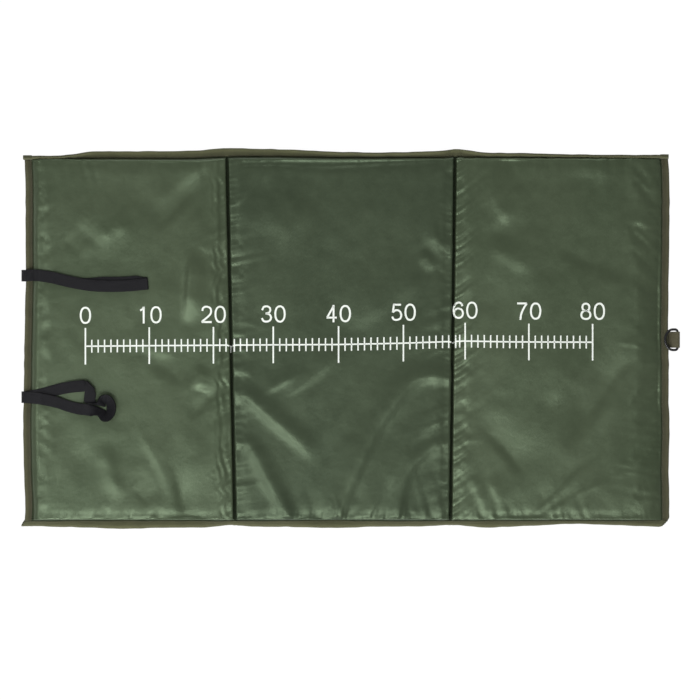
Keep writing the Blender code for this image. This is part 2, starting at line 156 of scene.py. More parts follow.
def meshPiece(name, points, faces):
    mesh = bpy.data.meshes.new(name)
    mesh.from_pydata(points.tolist(), [], faces)
    mesh.update()
    piece = bpy.data.objects.new(name, mesh)
    bpy.context.scene.collection.objects.link(piece)
    return piece


def joinPieces(name, parts):
    deselectAll()
    for part in parts:
        part.select_set(True)
    bpy.context.view_layer.objects.active = parts[0]
    if len(parts) > 1:
        bpy.ops.object.join()
    parts[0].name = parts[0].data.name = name
    return parts[0]


def smoothStep(t):
    t = np.clip(t, 0, 1)
    return t * t * (3 - 2 * t)


def unit(rows):
    # every vector at length one
    return rows / np.maximum(np.linalg.norm(rows, axis=-1, keepdims=True), 1e-12)


def walkedAlong(row):
    # how far along a path each of its points lies
    return np.concatenate([[0], np.cumsum(np.linalg.norm(np.diff(row, axis=0), axis=1))])


def curveWeights(knots, places):
    # weights that draw a smooth line through values given at the knots
    knots, places = np.asarray(knots, float), np.asarray(places, float)
    last = len(knots) - 1
    k = np.clip(np.searchsorted(knots, places, side="right") - 1, 0, last - 1)
    gap = knots[k + 1] - knots[k]
    t = np.clip((places - knots[k]) / gap, 0, 1)
    weights = np.zeros((len(places), len(knots)))
    rows = np.arange(len(places))
    np.add.at(weights, (rows, k), 2 * t**3 - 3 * t**2 + 1)
    np.add.at(weights, (rows, k + 1), 3 * t**2 - 2 * t**3)
    for here, share in ((k, t**3 - 2 * t**2 + t), (k + 1, t**3 - t**2)):
        before, after = np.maximum(here - 1, 0), np.minimum(here + 1, last)
        slope = share * gap / (knots[after] - knots[before])
        np.add.at(weights, (rows, after), slope)
        np.add.at(weights, (rows, before), -slope)
    return weights


def knotsOver(places, pitch):
    return places.min() - pitch + pitch * np.arange(int(np.ptp(places) / pitch) + 4)


def softLine(seed, places, pitch):
    # smooth random values along a line, about -1 to 1, one free value in each pitch
    knots = knotsOver(places, pitch)
    values = np.random.default_rng(seed).uniform(-1, 1, len(knots))
    return (curveWeights(knots, places.ravel()) @ values).reshape(places.shape)


def softField(seed, rowPlaces, columnPlaces, rowPitch, columnPitch):
    # the same over a grid
    rows, columns = knotsOver(rowPlaces, rowPitch), knotsOver(columnPlaces, columnPitch)
    values = np.random.default_rng(seed).uniform(-1, 1, (len(rows), len(columns)))
    return curveWeights(rows, rowPlaces) @ values @ curveWeights(columns, columnPlaces).T


def softTable(pairs, places):
    # a smooth line through (place, value) pairs in millimetres, answered in metres
    at, values = np.array(pairs, float).T * 0.001
    return sum(np.interp(places + s, at, values) for s in (-0.012, -0.006, 0, 0.006, 0.012)) / 5


def smoothPath(keys, steps):
    # a smooth row through key points, with a number of steps between neighbours
    keys = np.asarray(keys, float)
    knots = np.arange(len(keys))
    return curveWeights(knots, np.linspace(0, len(keys) - 1, (len(keys) - 1) * steps + 1)) @ keys


def aheadOf(row):
    return unit(np.gradient(np.asarray(row, float), axis=0))


def evenly(row, step):
    # the same path in even steps
    row = np.asarray(row, float)
    walked = walkedAlong(row)
    places = np.linspace(0, walked[-1], max(2, int(round(walked[-1] / step)) + 1))
    return np.stack([np.interp(places, walked, row[:, k]) for k in range(row.shape[1])], 1)


# Materials
def newGroup(name, numbers, outputs):
    # a shader group: a vector and named numbers go in, values come out
    group = bpy.data.node_groups.new(name, "ShaderNodeTree")
    sockets = group.interface
    sockets.new_socket("Vector", in_out="INPUT", socket_type="NodeSocketVector")
    for label, value in numbers.items():
        number = sockets.new_socket(label, in_out="INPUT", socket_type="NodeSocketFloat")
        number.default_value = value
    for label in outputs:
        sockets.new_socket(label, in_out="OUTPUT", socket_type="NodeSocketFloat")
    start, end = group.nodes.new("NodeGroupInput"), group.nodes.new("NodeGroupOutput")
    return group, start.outputs, end.inputs


def giveOut(group, wanted, **values):
    for label, value in values.items():
        group.links.new(value, wanted[label])


def maths(tree, operation, *values):
    node = tree.nodes.new("ShaderNodeMath")
    node.operation = operation
    for k, value in enumerate(values):
        if isinstance(value, (int, float)):
            node.inputs[k].default_value = value
        else:
            tree.links.new(value, node.inputs[k])
    return node.outputs[0]


def times(tree, a, b):
    return maths(tree, "MULTIPLY", a, b)


def waveOf(tree, value, perMetre, turn):
    return maths(tree, "SINE", times(tree, times(tree, value, perMetre), turn))


def splitVector(tree, vector):
    parts = tree.nodes.new("ShaderNodeSeparateXYZ")
    tree.links.new(vector, parts.inputs[0])
    return parts.outputs


def noiseNode(tree, vector, scale, detail=2.0, roughness=0.5, stretch=None):
    if stretch:
        mapping = tree.nodes.new("ShaderNodeMapping")
        mapping.inputs["Scale"].default_value = stretch
        tree.links.new(vector, mapping.inputs["Vector"])
        vector = mapping.outputs[0]
    node = tree.nodes.new("ShaderNodeTexNoise")
    tree.links.new(vector, node.inputs["Vector"])
    for label, value in (("Scale", scale), ("Detail", detail), ("Roughness", roughness)):
        node.inputs[label].default_value = value
    return node.outputs["Fac"]


def remap(tree, value, low, high, outLow, outHigh):
    node = tree.nodes.new("ShaderNodeMapRange")
    tree.links.new(value, node.inputs["Value"])
    for label, number in (("From Min", low), ("From Max", high), ("To Min", outLow),
                          ("To Max", outHigh)):
        node.inputs[label].default_value = number
    return node.outputs["Result"]


def mixColours(tree, share, a, b, kind="MIX"):
    node = tree.nodes.new("ShaderNodeMix")
    node.data_type, node.blend_type = "RGBA", kind
    for socket, value in ((node.inputs["Factor"], share), (node.inputs["A"], a),
                          (node.inputs["B"], b)):
        if isinstance(value, (int, float)):
            socket.default_value = value
        elif isinstance(value, tuple):
            socket.default_value = (*value, 1)
        else:
            tree.links.new(value, socket)
    return node.outputs["Result"]


def shaded(tree, colour, value, low, high, outLow, outHigh):
    # the colour made darker and lighter by a value
    return mixColours(tree, 1.0, colour, remap(tree, value, low, high, outLow, outHigh), "MULTIPLY")


def makeWeave():
    # plain weave: threads pass over and under each other
    group, given, wanted = newGroup("plainWeave", {"Threads per metre": 2200}, ("Height", "Gaps"))
    parts = splitVector(group, given["Vector"])
    waves = [waveOf(group, parts[k], given["Threads per metre"], math.pi) for k in (0, 1)]
    crests = [maths(group, "ABSOLUTE", wave) for wave in waves]
    which = maths(group, "GREATER_THAN", times(group, *waves), 0)
    over = times(group, crests[0], which)
    under = times(group, crests[1], maths(group, "SUBTRACT", 1, which))
    giveOut(group, wanted, Height=maths(group, "ADD", over, under),
            Gaps=maths(group, "SUBTRACT", 1, maths(group, "MAXIMUM", *crests)))
    return group


def makePatches():
    # broad and small uneven patches of shade and specks of dust, about 0 to 1
    group, given, wanted = newGroup("unevenDye", {}, ("Broad", "Small", "Dust"))
    for label, noise, low, high in (("Broad", (7, 2), 0.3, 0.7), ("Small", (55, 3, 0.6), 0.3, 0.7),
                                    ("Dust", (900, 2, 0.7), 0.62, 0.8)):
        patches = noiseNode(group, given["Vector"], *noise)
        giveOut(group, wanted, **{label: remap(group, patches, low, high, 0, 1)})
    return group


def makeRibs():
    # ribs across a tape, with a fine weave along them and darker edges, which are painted shade
    group, given, wanted = newGroup(
        "tapeRibs", {"Ribs per metre": 1100, "Slant": 0.6, "Half width": 0.0115},
        ("Height", "Edge", "Fleck", "Across"))
    parts, ribs = splitVector(group, given["Vector"]), given["Ribs per metre"]
    across = maths(group, "ABSOLUTE", parts[1])
    leaning = maths(group, "ADD", parts[0], times(group, across, given["Slant"]))
    waves = waveOf(group, leaning, ribs, 2 * math.pi)
    cords = waveOf(group, parts[1], ribs, 2.6 * math.pi)
    share = maths(group, "DIVIDE", across, given["Half width"])
    giveOut(group, wanted,
            Height=maths(group, "ADD", times(group, waves, 0.5), times(group, cords, 0.35)),
            Edge=remap(group, share, 0.86, 1.0, 0, 1),
            Fleck=noiseNode(group, given["Vector"], 700, 3, 0.7, (0.5, 2.0, 1.0)), Across=across)
    return group


weaveGroup, dyeGroup, ribGroup = makeWeave(), makePatches(), makeRibs()


def newMaterial(name):
    material = bpy.data.materials.new(name)
    material.use_nodes = True
    tree = material.node_tree
    return material, tree, tree.nodes["Principled BSDF"]


def setInputs(node, values):
    for label, value in values.items():
        node.inputs[label.replace("_", " ")].default_value = value


def place(tree, group, vector, **values):
    node = tree.nodes.new("ShaderNodeGroup")
    node.node_tree = group
    tree.links.new(vector, node.inputs["Vector"])
    setInputs(node, values)
    return node.outputs


def dyedMaterial(name):
    # a new material with its coordinates and its uneven dye
    material, tree, shader = newMaterial(name)
    places = tree.nodes.new("ShaderNodeTexCoord").outputs
    return material, tree, shader, places, place(tree, dyeGroup, places["Object"])


def finishShader(tree, shader, colour, rough, heights, **values):
    # heights are stacked bumps: (height, distance in metres, strength)
    tree.links.new(colour, shader.inputs["Base Color"])
    tree.links.new(rough, shader.inputs["Roughness"])
    setInputs(shader, values)
    normal = None
    for height, distance, strength in heights:
        node = tree.nodes.new("ShaderNodeBump")
        setInputs(node, {"Distance": distance, "Strength": strength})
        tree.links.new(height, node.inputs["Height"])
        if normal:
            tree.links.new(normal, node.inputs["Normal"])
        normal = node.outputs["Normal"]
    tree.links.new(normal, shader.inputs["Normal"])


def clothMaterial(name, threads, dark, light, gaps, dust, roughness, gloss, glossTint, crumple):
    material, tree, shader, places, dye = dyedMaterial(name)
    weave = place(tree, weaveGroup, places["UV"], Threads_per_metre=threads)
    colour = mixColours(tree, dye["Broad"], dark, light)
    colour = shaded(tree, colour, dye["Small"], 0, 1, 0.94, 1.06)
    colour = mixColours(tree, times(tree, weave["Gaps"], 0.5), colour, gaps)
    colour = mixColours(tree, times(tree, dye["Dust"], dust), colour, (0.30, 0.32, 0.27))
    finishShader(tree, shader, colour,
                 remap(tree, dye["Small"], 0, 1, roughness - 0.03, roughness + 0.04),
                 [(noiseNode(tree, places["Object"], 120, 4, 0.55), crumple, 0.5),
                  (weave["Height"], 0.00006, 0.35)],
                 Specular_IOR_Level=gloss, Specular_Tint=(*glossTint, 1))
    return material


def tapeMaterial(name, ribs, slant, halfWidth, dark, light, edge, edgeShadeColour, roughness, sheen,
                 gloss, relief, paintedShadeBands=None):
    material, tree, shader, places, dye = dyedMaterial(name)
    cords = place(tree, ribGroup, places["UV"], Ribs_per_metre=ribs, Slant=slant,
                  Half_width=halfWidth)
    colour = mixColours(tree, remap(tree, cords["Height"], -0.8, 0.8, 0, 1), dark, light)
    colour = shaded(tree, colour, cords["Fleck"], 0.3, 0.7, 0.86, 1.12)
    colour = shaded(tree, colour, dye["Small"], 0, 1, 0.92, 1.08)
    # the edges are darkened: painted shade
    colour = mixColours(tree, times(tree, cords["Edge"], edge), colour, edgeShadeColour)
    if paintedShadeBands:
        # painted shade and highlight across the tape: darker at the very rim, lighter beside it and
        # darker again inwards
        rim, outer, inner = paintedShadeBands
        colour = shaded(tree, colour, cords["Across"], 0.0003, 0.0012, rim, 1)
        colour = shaded(tree, colour, cords["Across"], 0.0040, 0.0068, outer, inner)
    finishShader(tree, shader, colour,
                 remap(tree, cords["Fleck"], 0, 1, roughness - 0.08, roughness + 0.08),
                 [(cords["Height"], relief, 0.8), (cords["Fleck"], relief, 0.4)],
                 Sheen_Weight=sheen, Sheen_Roughness=0.5, Specular_IOR_Level=gloss)
    return material


def plasticMaterial(name, dark, light, polished, scuffed):
    material, tree, shader, places, dye = dyedMaterial(name)
    scuffs = noiseNode(tree, places["Object"], 900, 3, 0.6, (1, 0.25, 1))
    finishShader(tree, shader, mixColours(tree, dye["Small"], dark, light),
                 remap(tree, scuffs, 0.35, 0.75, polished, scuffed), [(scuffs, 0.00004, 0.4)])
    return material


def printMaterial(name, ink, thin):
    material, tree, shader, places, dye = dyedMaterial(name)
    weave = place(tree, weaveGroup, places["UV"], Threads_per_metre=2000)
    finishShader(tree, shader, mixColours(tree, dye["Small"], ink, thin),
                 remap(tree, dye["Small"], 0, 1, 0.5, 0.62), [(weave["Height"], 0.00004, 0.3)])
    return material


nylon = dict(
    threads=2200, dark=(0.038, 0.051, 0.028), light=(0.050, 0.064, 0.037),
    gaps=(0.016, 0.023, 0.012), dust=0.08, roughness=0.35, gloss=0.80,
    glossTint=(0.76, 1.0, 0.66), crumple=0.0005)
topCloth = clothMaterial("greenNylon", **nylon)
# the middle panel's copy of the nylon is darker, painted shade, and shines a little less
middlePaintedShadeCloth = clothMaterial("greenNylonPaintedShade", **dict(
    nylon, dark=(0.031, 0.042, 0.025), light=(0.041, 0.054, 0.032), gloss=0.61))
# the cloth deep in a fold seam: painted shade, a much darker and duller copy of the nylon
seamPaintedShadeCloth = clothMaterial("greenNylonPaintedGrooveShade", **dict(
    nylon, dark=(0.010, 0.013, 0.007), light=(0.014, 0.018, 0.010), gloss=0.15, roughness=0.6))
baseCloth = clothMaterial(
    "darkGreenCoatedNylon", threads=1600, dark=(0.030, 0.042, 0.026), light=(0.044, 0.060, 0.037),
    gaps=(0.014, 0.020, 0.012), dust=0.3, roughness=0.55, gloss=0.4, glossTint=(0.9, 1.0, 0.85),
    crumple=0.0010)
# the tape's bands are painted shade and a painted highlight across its width
olive = dict(
    ribs=900, slant=0.0, halfWidth=0.0125, dark=(0.058, 0.060, 0.028), light=(0.136, 0.141, 0.066),
    edge=0.75, edgeShadeColour=(0.028, 0.028, 0.013), roughness=0.66, sheen=0.1, gloss=0.3,
    relief=0.0003, paintedShadeBands=(0.5, 1.15, 0.80))
tapeCloth = tapeMaterial("oliveTape", **olive)
# the tape on the two ends runs across the light, and its copy is painted darker: painted shade
endTapePaintedShadeCloth = tapeMaterial("oliveTapePaintedShade", **dict(
    olive, dark=(0.041, 0.040, 0.019), light=(0.093, 0.091, 0.044)))
webbingCloth = tapeMaterial(
    "oliveWebbing", ribs=520, slant=0.9, halfWidth=0.0125, dark=(0.050, 0.045, 0.024),
    light=(0.120, 0.108, 0.060), edge=0.5, edgeShadeColour=(0.040, 0.035, 0.019), roughness=0.62,
    sheen=0.15, gloss=0.3, relief=0.0005)
elasticCloth = tapeMaterial(
    "blackElastic", ribs=620, slant=0.0, halfWidth=0.0090, dark=(0.0030, 0.0029, 0.0040),
    light=(0.0092, 0.0090, 0.0116), edge=0.8, edgeShadeColour=(0.0025, 0.0025, 0.003), roughness=0.55,
    sheen=0.0, gloss=0.22, relief=0.0003)
threadCloth = tapeMaterial(
    "oliveThread", ribs=2500, slant=1.0, halfWidth=0.01, dark=(0.050, 0.050, 0.030),
    light=(0.110, 0.108, 0.066), edge=0.0, edgeShadeColour=(0.05, 0.05, 0.03), roughness=0.55,
    sheen=0.1, gloss=0.3, relief=0.0001)
ringPlastic = plasticMaterial("blackMouldedPlastic", dark=(0.008, 0.008, 0.009),
                              light=(0.014, 0.014, 0.015), polished=0.22, scuffed=0.42)
rulerInk = printMaterial("whiteRulerInk", ink=(0.86, 0.90, 0.84), thin=(0.78, 0.83, 0.76))
print("materials made")

# How the hems of the mat lie, in millimetres: (place along the edge, how far the sewn line is
# shifted outwards, how wide the hem's tape looks from above); a hem that looks narrow is tipped up
edges = {
    "rear": ((-502, 3.5, 0.3), (-445, 4.1, 0.5), (-427, 3.5, 3.0), (-405, 2.9, 8.5),
             (-385, 2.6, 10.4), (-341, 2.5, 10.4), (-278, 2.0, 10.8), (-259, 1.9, 11.2),
             (-228, 2.6, 11.6), (-203, 4.2, 12.8), (-178, 5.0, 12.9), (-153, 5.0, 12.3),
             (-119, 5.2, 11.2), (-54, 4.3, 9.5), (-26, 4.0, 8.0), (46, 4.0, 5.6), (96, 4.2, 6.9),
             (145, 4.4, 8.3), (170, 4.8, 12.8), (195, 4.8, 8.1), (220, 4.9, 4.7), (295, 4.9, 3.6),
             (332, 4.9, 2.3), (394, 4.9, 0.6), (494, 4.9, 0.6)),
    "front": ((-502, 1.1, 8.0), (-452, 1.1, 9.5), (-402, 1.1, 11.1), (-352, 1.1, 12.7),
              (-278, 1.1, 11.1), (-228, 1.1, 11.1), (-203, 1.1, 9.5), (-178, 1.1, 5.9),
              (-153, 1.1, 9.5), (-103, 1.1, 9.5), (-54, 1.1, 11.1), (-4, 1.1, 11.1), (46, 1.1, 9.5),
              (96, 1.1, 9.5), (145, 1.1, 8.0), (165, 1.1, 5.9), (195, 1.1, 9.5), (220, 1.1, 11.1),
              (295, 0.9, 8.0), (344, 0.6, 4.9), (394, 0.9, 6.4), (469, 1.1, 9.0), (494, 1.1, 10.8)),
    # the ends only wander in and out
    "left": ((-281, 1.0), (-259, -0.1), (-205, 2.3), (-145, 3.8), (-99, 2.9), (15, 1.3),
             (100, -0.9), (173, -0.3), (248, -0.3), (284, 2.1)),
    "right": ((-273, 1.6), (-250, 1.9), (-203, 0.6), (-141, 2.6), (-94, 0.6), (-40, 1.2), (-1, 0.0),
              (61, 0.2), (124, 1.2), (217, 2.3), (264, 1.2), (284, -0.6)),
    # the front right corner is folded under along this line
    "cornerFold": ((0.5015, -0.2699), (0.4813, -0.2916)),
    "cornerRadius": 0.0022,
    "droop": 0.56, "level": 0.47,        # the front hem's most tip, and where it starts to level
    "levelWithin": 0.04, "reach": 0.060,
    # the small unevenness all round: its size, its pitches along the ends and the sides, its reach
    "wander": 0.00035, "endPitch": 0.012, "sidePitch": 0.011, "wanderReach": 0.012,
}


def tipHem(row, x, y, z):
    # tips the hem of the front or the rear about its sewn line, and shifts the line
    turn, sewn = (1 if row == "rear" else -1), halfDepth - mat["edgeSewn"]
    seen = softTable([(at, width + 1) for at, _, width in edges[row]], x) / mat["edgeSewn"]
    tip = np.arccos(np.clip(seen, 0, 1))
    if row == "front":
        # the front hem hangs down on to the floor, and lies level at the folded corner
        tip = -np.minimum(tip, edges["droop"]) * smoothStep((edges["level"] - x)
                                                          / edges["levelWithin"])
    out, up = y * turn - sewn, z - level
    hem = out > 0
    out = np.where(hem, out * (np.maximum(seen, 1) if row == "rear" else seen / np.cos(tip)), out)
    newY = sewn + np.where(hem, out * np.cos(tip) - up * np.sin(tip), out)
    newZ = level + np.where(hem, out * np.sin(tip) + up * np.cos(tip), up)
    shift = softTable([(at, move) for at, move, _ in edges[row]], x)
    newY += shift * smoothStep((y * turn - sewn + edges["reach"]) / edges["reach"])
    return newY * turn, newZ


def foldCorner(x, y, z):
    # the front right corner folded under
    start, end = (Vector(q) for q in edges["cornerFold"])
    along = (end - start).normalized()
    turn = 1 if -along.y > 0 else -1
    outX, outY = -along.y * turn, along.x * turn
    beyond = (x - start.x) * outX + (y - start.y) * outY
    radius = edges["cornerRadius"]
    bent = beyond > 0
    angle = np.clip(beyond / radius, 0, math.pi)
    flat = np.maximum(beyond - math.pi * radius, 0)
    lift = z - level
    reached = radius * np.sin(angle) - flat + lift * np.sin(angle)
    moved = np.where(bent, reached - beyond, 0)
    z = np.where(bent, level - radius * (1 - np.cos(angle)) + lift * np.cos(angle), z)
    return x + moved * outX, y + moved * outY, z


def dress(points):
    # moves points from the straight pattern to where the soft edges really lie
    p = np.array(points, float)
    x, y, z = foldCorner(p[:, 0], p[:, 1], p[:, 2])
    for row, chosen in (("rear", y > 0), ("front", y <= 0)):
        y[chosen], z[chosen] = tipHem(row, x[chosen], y[chosen], z[chosen])
    # the ends' wander, fading out inwards, and a small unevenness all round
    reach, small = edges["reach"], edges["wander"]
    for row, turn in (("left", -1), ("right", 1)):
        near = smoothStep((p[:, 0] * turn - halfLength + reach) / reach)
        move = softTable(edges[row], p[:, 1]) + small * softLine(33, p[:, 1], edges["endPitch"])
        x = x + near * turn * move
    reach = edges["wanderReach"]
    near = smoothStep((np.abs(p[:, 1]) - halfDepth + reach) / reach)
    y = y + near * small * softLine(31, p[:, 0] + p[:, 1], edges["sidePitch"])
    return np.stack([x, y, z], 1)


print("edges ready")

# Panels: each is one padded piece, closed all round
panels = {
    "left": {"low": "leftEdge", "high": "leftFold", "lowKind": "edge", "highKind": "fold"},
    "middle": {"low": "leftFold", "high": "rightFold", "lowKind": "fold", "highKind": "fold"},
    "right": {"low": "rightFold", "high": "rightEdge", "lowKind": "fold", "highKind": "edge"},
}
panelForm = {
    "coarse": 0.0075, "fine": 0.0021, "finest": 0.0006, "easing": 0.012,
    "wallLean": 0.0025, "wallReach": 0.009,     # how far the walls lean into a fold seam's groove
    # the loose cloth that is blown up for its creases, and how much of them is kept
    "cloth": {"mass": 0.2, "quality": 6, "tension_stiffness": 12, "compression_stiffness": 12,
              "shear_stiffness": 6, "bending_stiffness": 0.4, "shrink_min": -0.012,
              "use_pressure": True, "uniform_pressure_force": 1.6},
    "frames": 14, "mostMoved": 0.004, "settling": 0.6, "creaseReach": 0.030, "calmSides": 0.45,
    "slope": 8.0, "steepest": 17.0, "ridgeBack": 1.8, "valleyBack": 4.0,
    "narrow": 0.55,                             # a fold's share of its width at a sewn line
    # the share of a fold's length in which it fades, on the cloth and where it runs past a sewn
    # line that its end is this near to
    "fade": 0.38, "fadeSewn": 0.02, "nearSewn": 0.018,
    "waves": ((0.0008, 0.050, 0.045), (0.00022, 0.018, 0.018)),    # height, pitch down and across
    "ripple": 0.0006, "ripplePitch": 0.0105,    # along the left fold seam
    "sag": 0.0004,
}

# Folds of the top cloth: strength, its width on its left and on its right and the x and y of
# the places along its line, in mm
folds = {
    "left": (
        (-1.7, 7, 9, (-219, 245, -243, 222, -271, 195, -306, 161)),
        (1.0, 9, 5, (-228, 260, -253, 242, -287, 212, -312, 189)),
        (1.6, 16, 5, (-234, 145, -239, 116, -243, 61, -250, 21)),
        (0.8, 3, 3, (-236, 145, -223, 141, -211, 128)),
        (-0.7, 6, 6, (-442, 158, -428, 144, -411, 130)),
        (-0.9, 1.6, 3, (-405, 281, -376, 278, -346, 274, -290, 273, -247, 274)),
        (-1.3, 5, 3, (-211, -69, -209, -86, -223, -103, -242, -128)),
        (1.1, 9, 4, (-219, -41, -226, -63, -229, -82)),
        (-1.5, 6, 7, (-295, -180, -274, -195, -264, -223, -253, -268)),
        (-1.1, 4, 5, (-242, -215, -253, -247, -262, -273)),
        (-0.9, 1.6, 3, (-446, -180, -450, -215, -456, -257)),
        (1.0, 10, 6, (-334, -122, -309, -166, -285, -212, -274, -257)),
        (-0.9, 4, 4, (-335, -229, -323, -242, -307, -260)),
        (0.9, 12, 12, (-390, 139, -365, 163, -321, 177)),
        (1.0, 6, 10, (-383, -156, -371, -203, -355, -257)),
        (0.8, 8, 8, (-352, 7, -306, -19, -251, -32)),
        (-0.8, 9, 9, (-321, -40, -282, -51, -247, -82)),
        (0.9, 5, 3, (-201, 267, -203, 217, -200, 155)),
        (-0.8, 2.5, 2.5, (-198, 254, -195, 194, -195, 121, -194, 61)),
        (0.8, 3, 3, (-203, 121, -208, 89, -203, 61)),
        (-0.9, 2.5, 2.5, (-195, -51, -200, -82, -195, -117, -198, -156, -192, -203, -194, -250)),
        (0.8, 3, 3, (-205, 15, -198, -16, -194, -35)),
        (-0.9, 3, 5, (-481, 267, -483, 217, -481, 155)),
    ),
    "middle": (
        (-2.0, 1.2, 5, (-58, 265, -2, 266, 68, 271, 156, 276)),
        (0.8, 5, 2, (-10, 270, 68, 275, 145, 281)),
        (1.6, 4, 3, (-180, 206, -166, 215, -153, 229, -138, 264)),
        (1.0, 5, 5, (-116, 267, -127, 247, -139, 222)),
        (-0.9, 4, 4, (-127, 264, -141, 236, -156, 209)),
        (0.8, 12, 12, (-110, 138, -79, 173, -44, 215)),
        (0.7, 12, 12, (-156, 155, -131, 186, -100, 217)),
        (1.1, 2.5, 9, (107, 135, 121, 121, 136, 102)),
        (1.0, 3, 10, (122, 209, 127, 178, 136, 153, 163, 139)),
        (0.9, 12, 14, (139, 102, 99, 74, 52, 43, 2, 5)),
        (1.5, 5, 9, (-4, -19, -32, -44, -60, -68, -99, -93)),
        (0.9, 2, 3, (-177, 89, -166, 91, -156, 93)),
        (0.9, 3, 3, (-177, 26, -153, 23, -122, 13)),
        (0.8, 2, 3, (-177, 10, -163, 4, -144, 5)),
        (1.2, 3, 3, (-166, -52, -150, -57, -138, -71)),
        (1.4, 4, 5, (-135, -89, -103, -72, -71, -55)),
        (2.4, 5, 8, (-172, -89, -153, -96, -116, -128, -79, -161, -38, -206)),
        (2.0, 5, 8, (-172, -161, -150, -173, -127, -217, -111, -245, -93, -281)),
        (0.8, 1.6, 1.6, (-172, -136, -161, -138, -152, -141)),
        (0.9, 1.6, 1.6, (-172, -149, -158, -152, -145, -155)),
        (2.1, 10, 7, (159, -63, 128, -60, 102, -71, 71, -110, 43, -153, 12, -220, -9, -276)),
        (1.1, 1.8, 1.8, (159, -103, 142, -110, 122, -119)),
        (1.9, 8, 5, (159, -164, 138, -169, 107, -192, 89, -228, 82, -276)),
        (1.1, 8, 8, (155, -121, 108, -156, 66, -219, 38, -271)),
        (1.0, 3, 3, (58, -225, 46, -250, 33, -279)),
        (0.9, 3, 3, (128, -243, 122, -259, 116, -279)),
        (0.8, 2, 2, (-21, -268, -18, -279)),
        (0.8, 2, 2, (-12, -265, -7, -279)),
        (0.7, 3, 3, (107, 15, 130, 18, 156, 18)),
        (0.8, 2, 3, (103, -250, 100, -279)),
    ),
    "right": (
        (0.9, 9, 9, (203, 254, 223, 228, 243, 195, 264, 161)),
        (-0.8, 7, 9, (239, 279, 254, 256, 278, 233, 281, 208)),
        (-1.0, 10, 10, (301, 155, 326, 139, 371, 116, 425, 99, 472, 83)),
        (0.9, 12, 12, (208, 139, 254, 121, 301, 89)),
        (-0.8, 9, 9, (217, 177, 239, 155, 270, 139)),
        (-2.2, 9, 7, (463, -26, 428, -47, 405, -82, 379, -117, 355, -156, 341, -184)),
        (0.8, 8, 8, (475, -51, 444, -82, 419, -116, 394, -156)),
        (-1.6, 8, 7, (491, -91, 469, -122, 447, -158, 413, -191)),
        (0.8, 9, 9, (363, -41, 341, -75, 320, -111)),
        (-1.5, 6, 7, (200, -128, 231, -159, 257, -189, 282, -222)),
        (1.3, 2, 2.5, (173, -167, 189, -159, 215, -160)),
        (1.1, 1.6, 1.6, (172, -97, 180, -94, 189, -91)),
        (-1.4, 2.5, 3, (200, -250, 205, -264, 211, -281)),
        (-1.2, 2.5, 3, (228, -254, 231, -265, 237, -281)),
        (-1.3, 2.5, 3, (243, -245, 251, -260, 259, -281)),
        (1.3, 5, 5, (192, -209, 201, -234, 214, -262)),
        (1.2, 5, 5, (217, -212, 229, -234, 243, -262)),
        (-1.3, 3, 4, (281, -276, 304, -254, 326, -236, 349, -211, 374, -192, 413, -169)),
        (0.6, 5, 4, (285, -276, 320, -251, 354, -225, 385, -203, 419, -181)),
        (-1.0, 3, 4, (298, -276, 329, -254, 360, -237, 388, -220, 419, -197)),
        (-1.2, 1.8, 1.8, (327, -279, 330, -268, 335, -257)),
        (0.8, 1.6, 1.6, (438, -180, 453, -178, 469, -178)),
        (0.8, 1.6, 1.6, (433, -184, 447, -187, 463, -191)),
        (0.9, 1.6, 1.6, (413, -194, 432, -197, 452, -203)),
        (0.9, 1.6, 1.8, (419, -205, 450, -209, 481, -217)),
        (0.8, 1.6, 1.6, (407, -214, 422, -214, 438, -215)),
        (0.8, 1.6, 1.6, (421, -172, 456, -170, 491, -175)),
        (0.8, 1.6, 1.6, (456, -223, 475, -226, 488, -229)),
        (1.0, 2.5, 2.5, (411, -7, 441, -9, 472, -18)),
        (0.9, 2, 2, (428, -27, 456, -29, 484, -33)),
        (-0.9, 10, 10, (456, 139, 475, 100, 484, 46)),
        (0.7, 4, 4, (341, -250, 379, -234, 413, -225)),
        (0.8, 9, 9, (332, 248, 379, 254, 433, 239)),
    ),
}

# Puckers along the sewn lines: (height, spacing, reach inwards, slant) in millimetres
puckers = {
    "left": {"low": ((0.5, 4.5, 8, -0.6), (0.4, 13, 20, 0.2)),
             "high": ((0.5, 4.5, 9, -0.6), (0.35, 12, 20, -0.4)),
             "front": ((1.6, 8.5, 8, 0.3), (0.7, 20, 24, 0.3)),
             "rear": ((0.5, 5.5, 9, 0.0), (0.8, 14, 25, 0.3))},
    "middle": {"low": ((0.6, 4.5, 8, 0.2), (0.7, 12, 22, 0.2)),
               "high": ((0.5, 5.0, 9, 0.3), (0.7, 12, 22, -0.3)),
               "front": ((1.2, 6.0, 9, 0.2), (1.1, 15, 28, -0.3)),
               "rear": ((0.6, 5.5, 9, 0.0), (0.8, 14, 25, -0.3))},
    "right": {"low": ((1.5, 4.6, 11, 0.8), (0.7, 12, 24, 0.7)),
              "high": ((0.6, 5.0, 10, 0.0), (0.8, 13, 24, 0.2)),
              "front": ((0.8, 5.5, 9, -0.2), (0.6, 14, 26, -0.4)),
              "rear": ((0.5, 5.0, 9, 0.0), (0.7, 14, 24, 0.0))},
}


def spread(width, coarsest, finest):
    # places between two sewn lines, closer together near both
    places, at = [0.0], 0.0
    while at < width / 2:
        at += finest + (coarsest - finest) * min(at / panelForm["easing"], 1)
        places.append(at)
    places = np.array(places) * (width / 2) / places[-1]
    return np.concatenate([places, width - places[-2::-1]])


def hemSteps(kind, coarsest):
    # places on the hem outside a sewn line, from the rim inwards
    reach = mat[kind + "Sewn"] - mat[kind + "Rim"]
    count = 2 if kind == "fold" else max(2, int(reach / coarsest) + 1)
    return -reach * (1 - np.arange(count) / count)


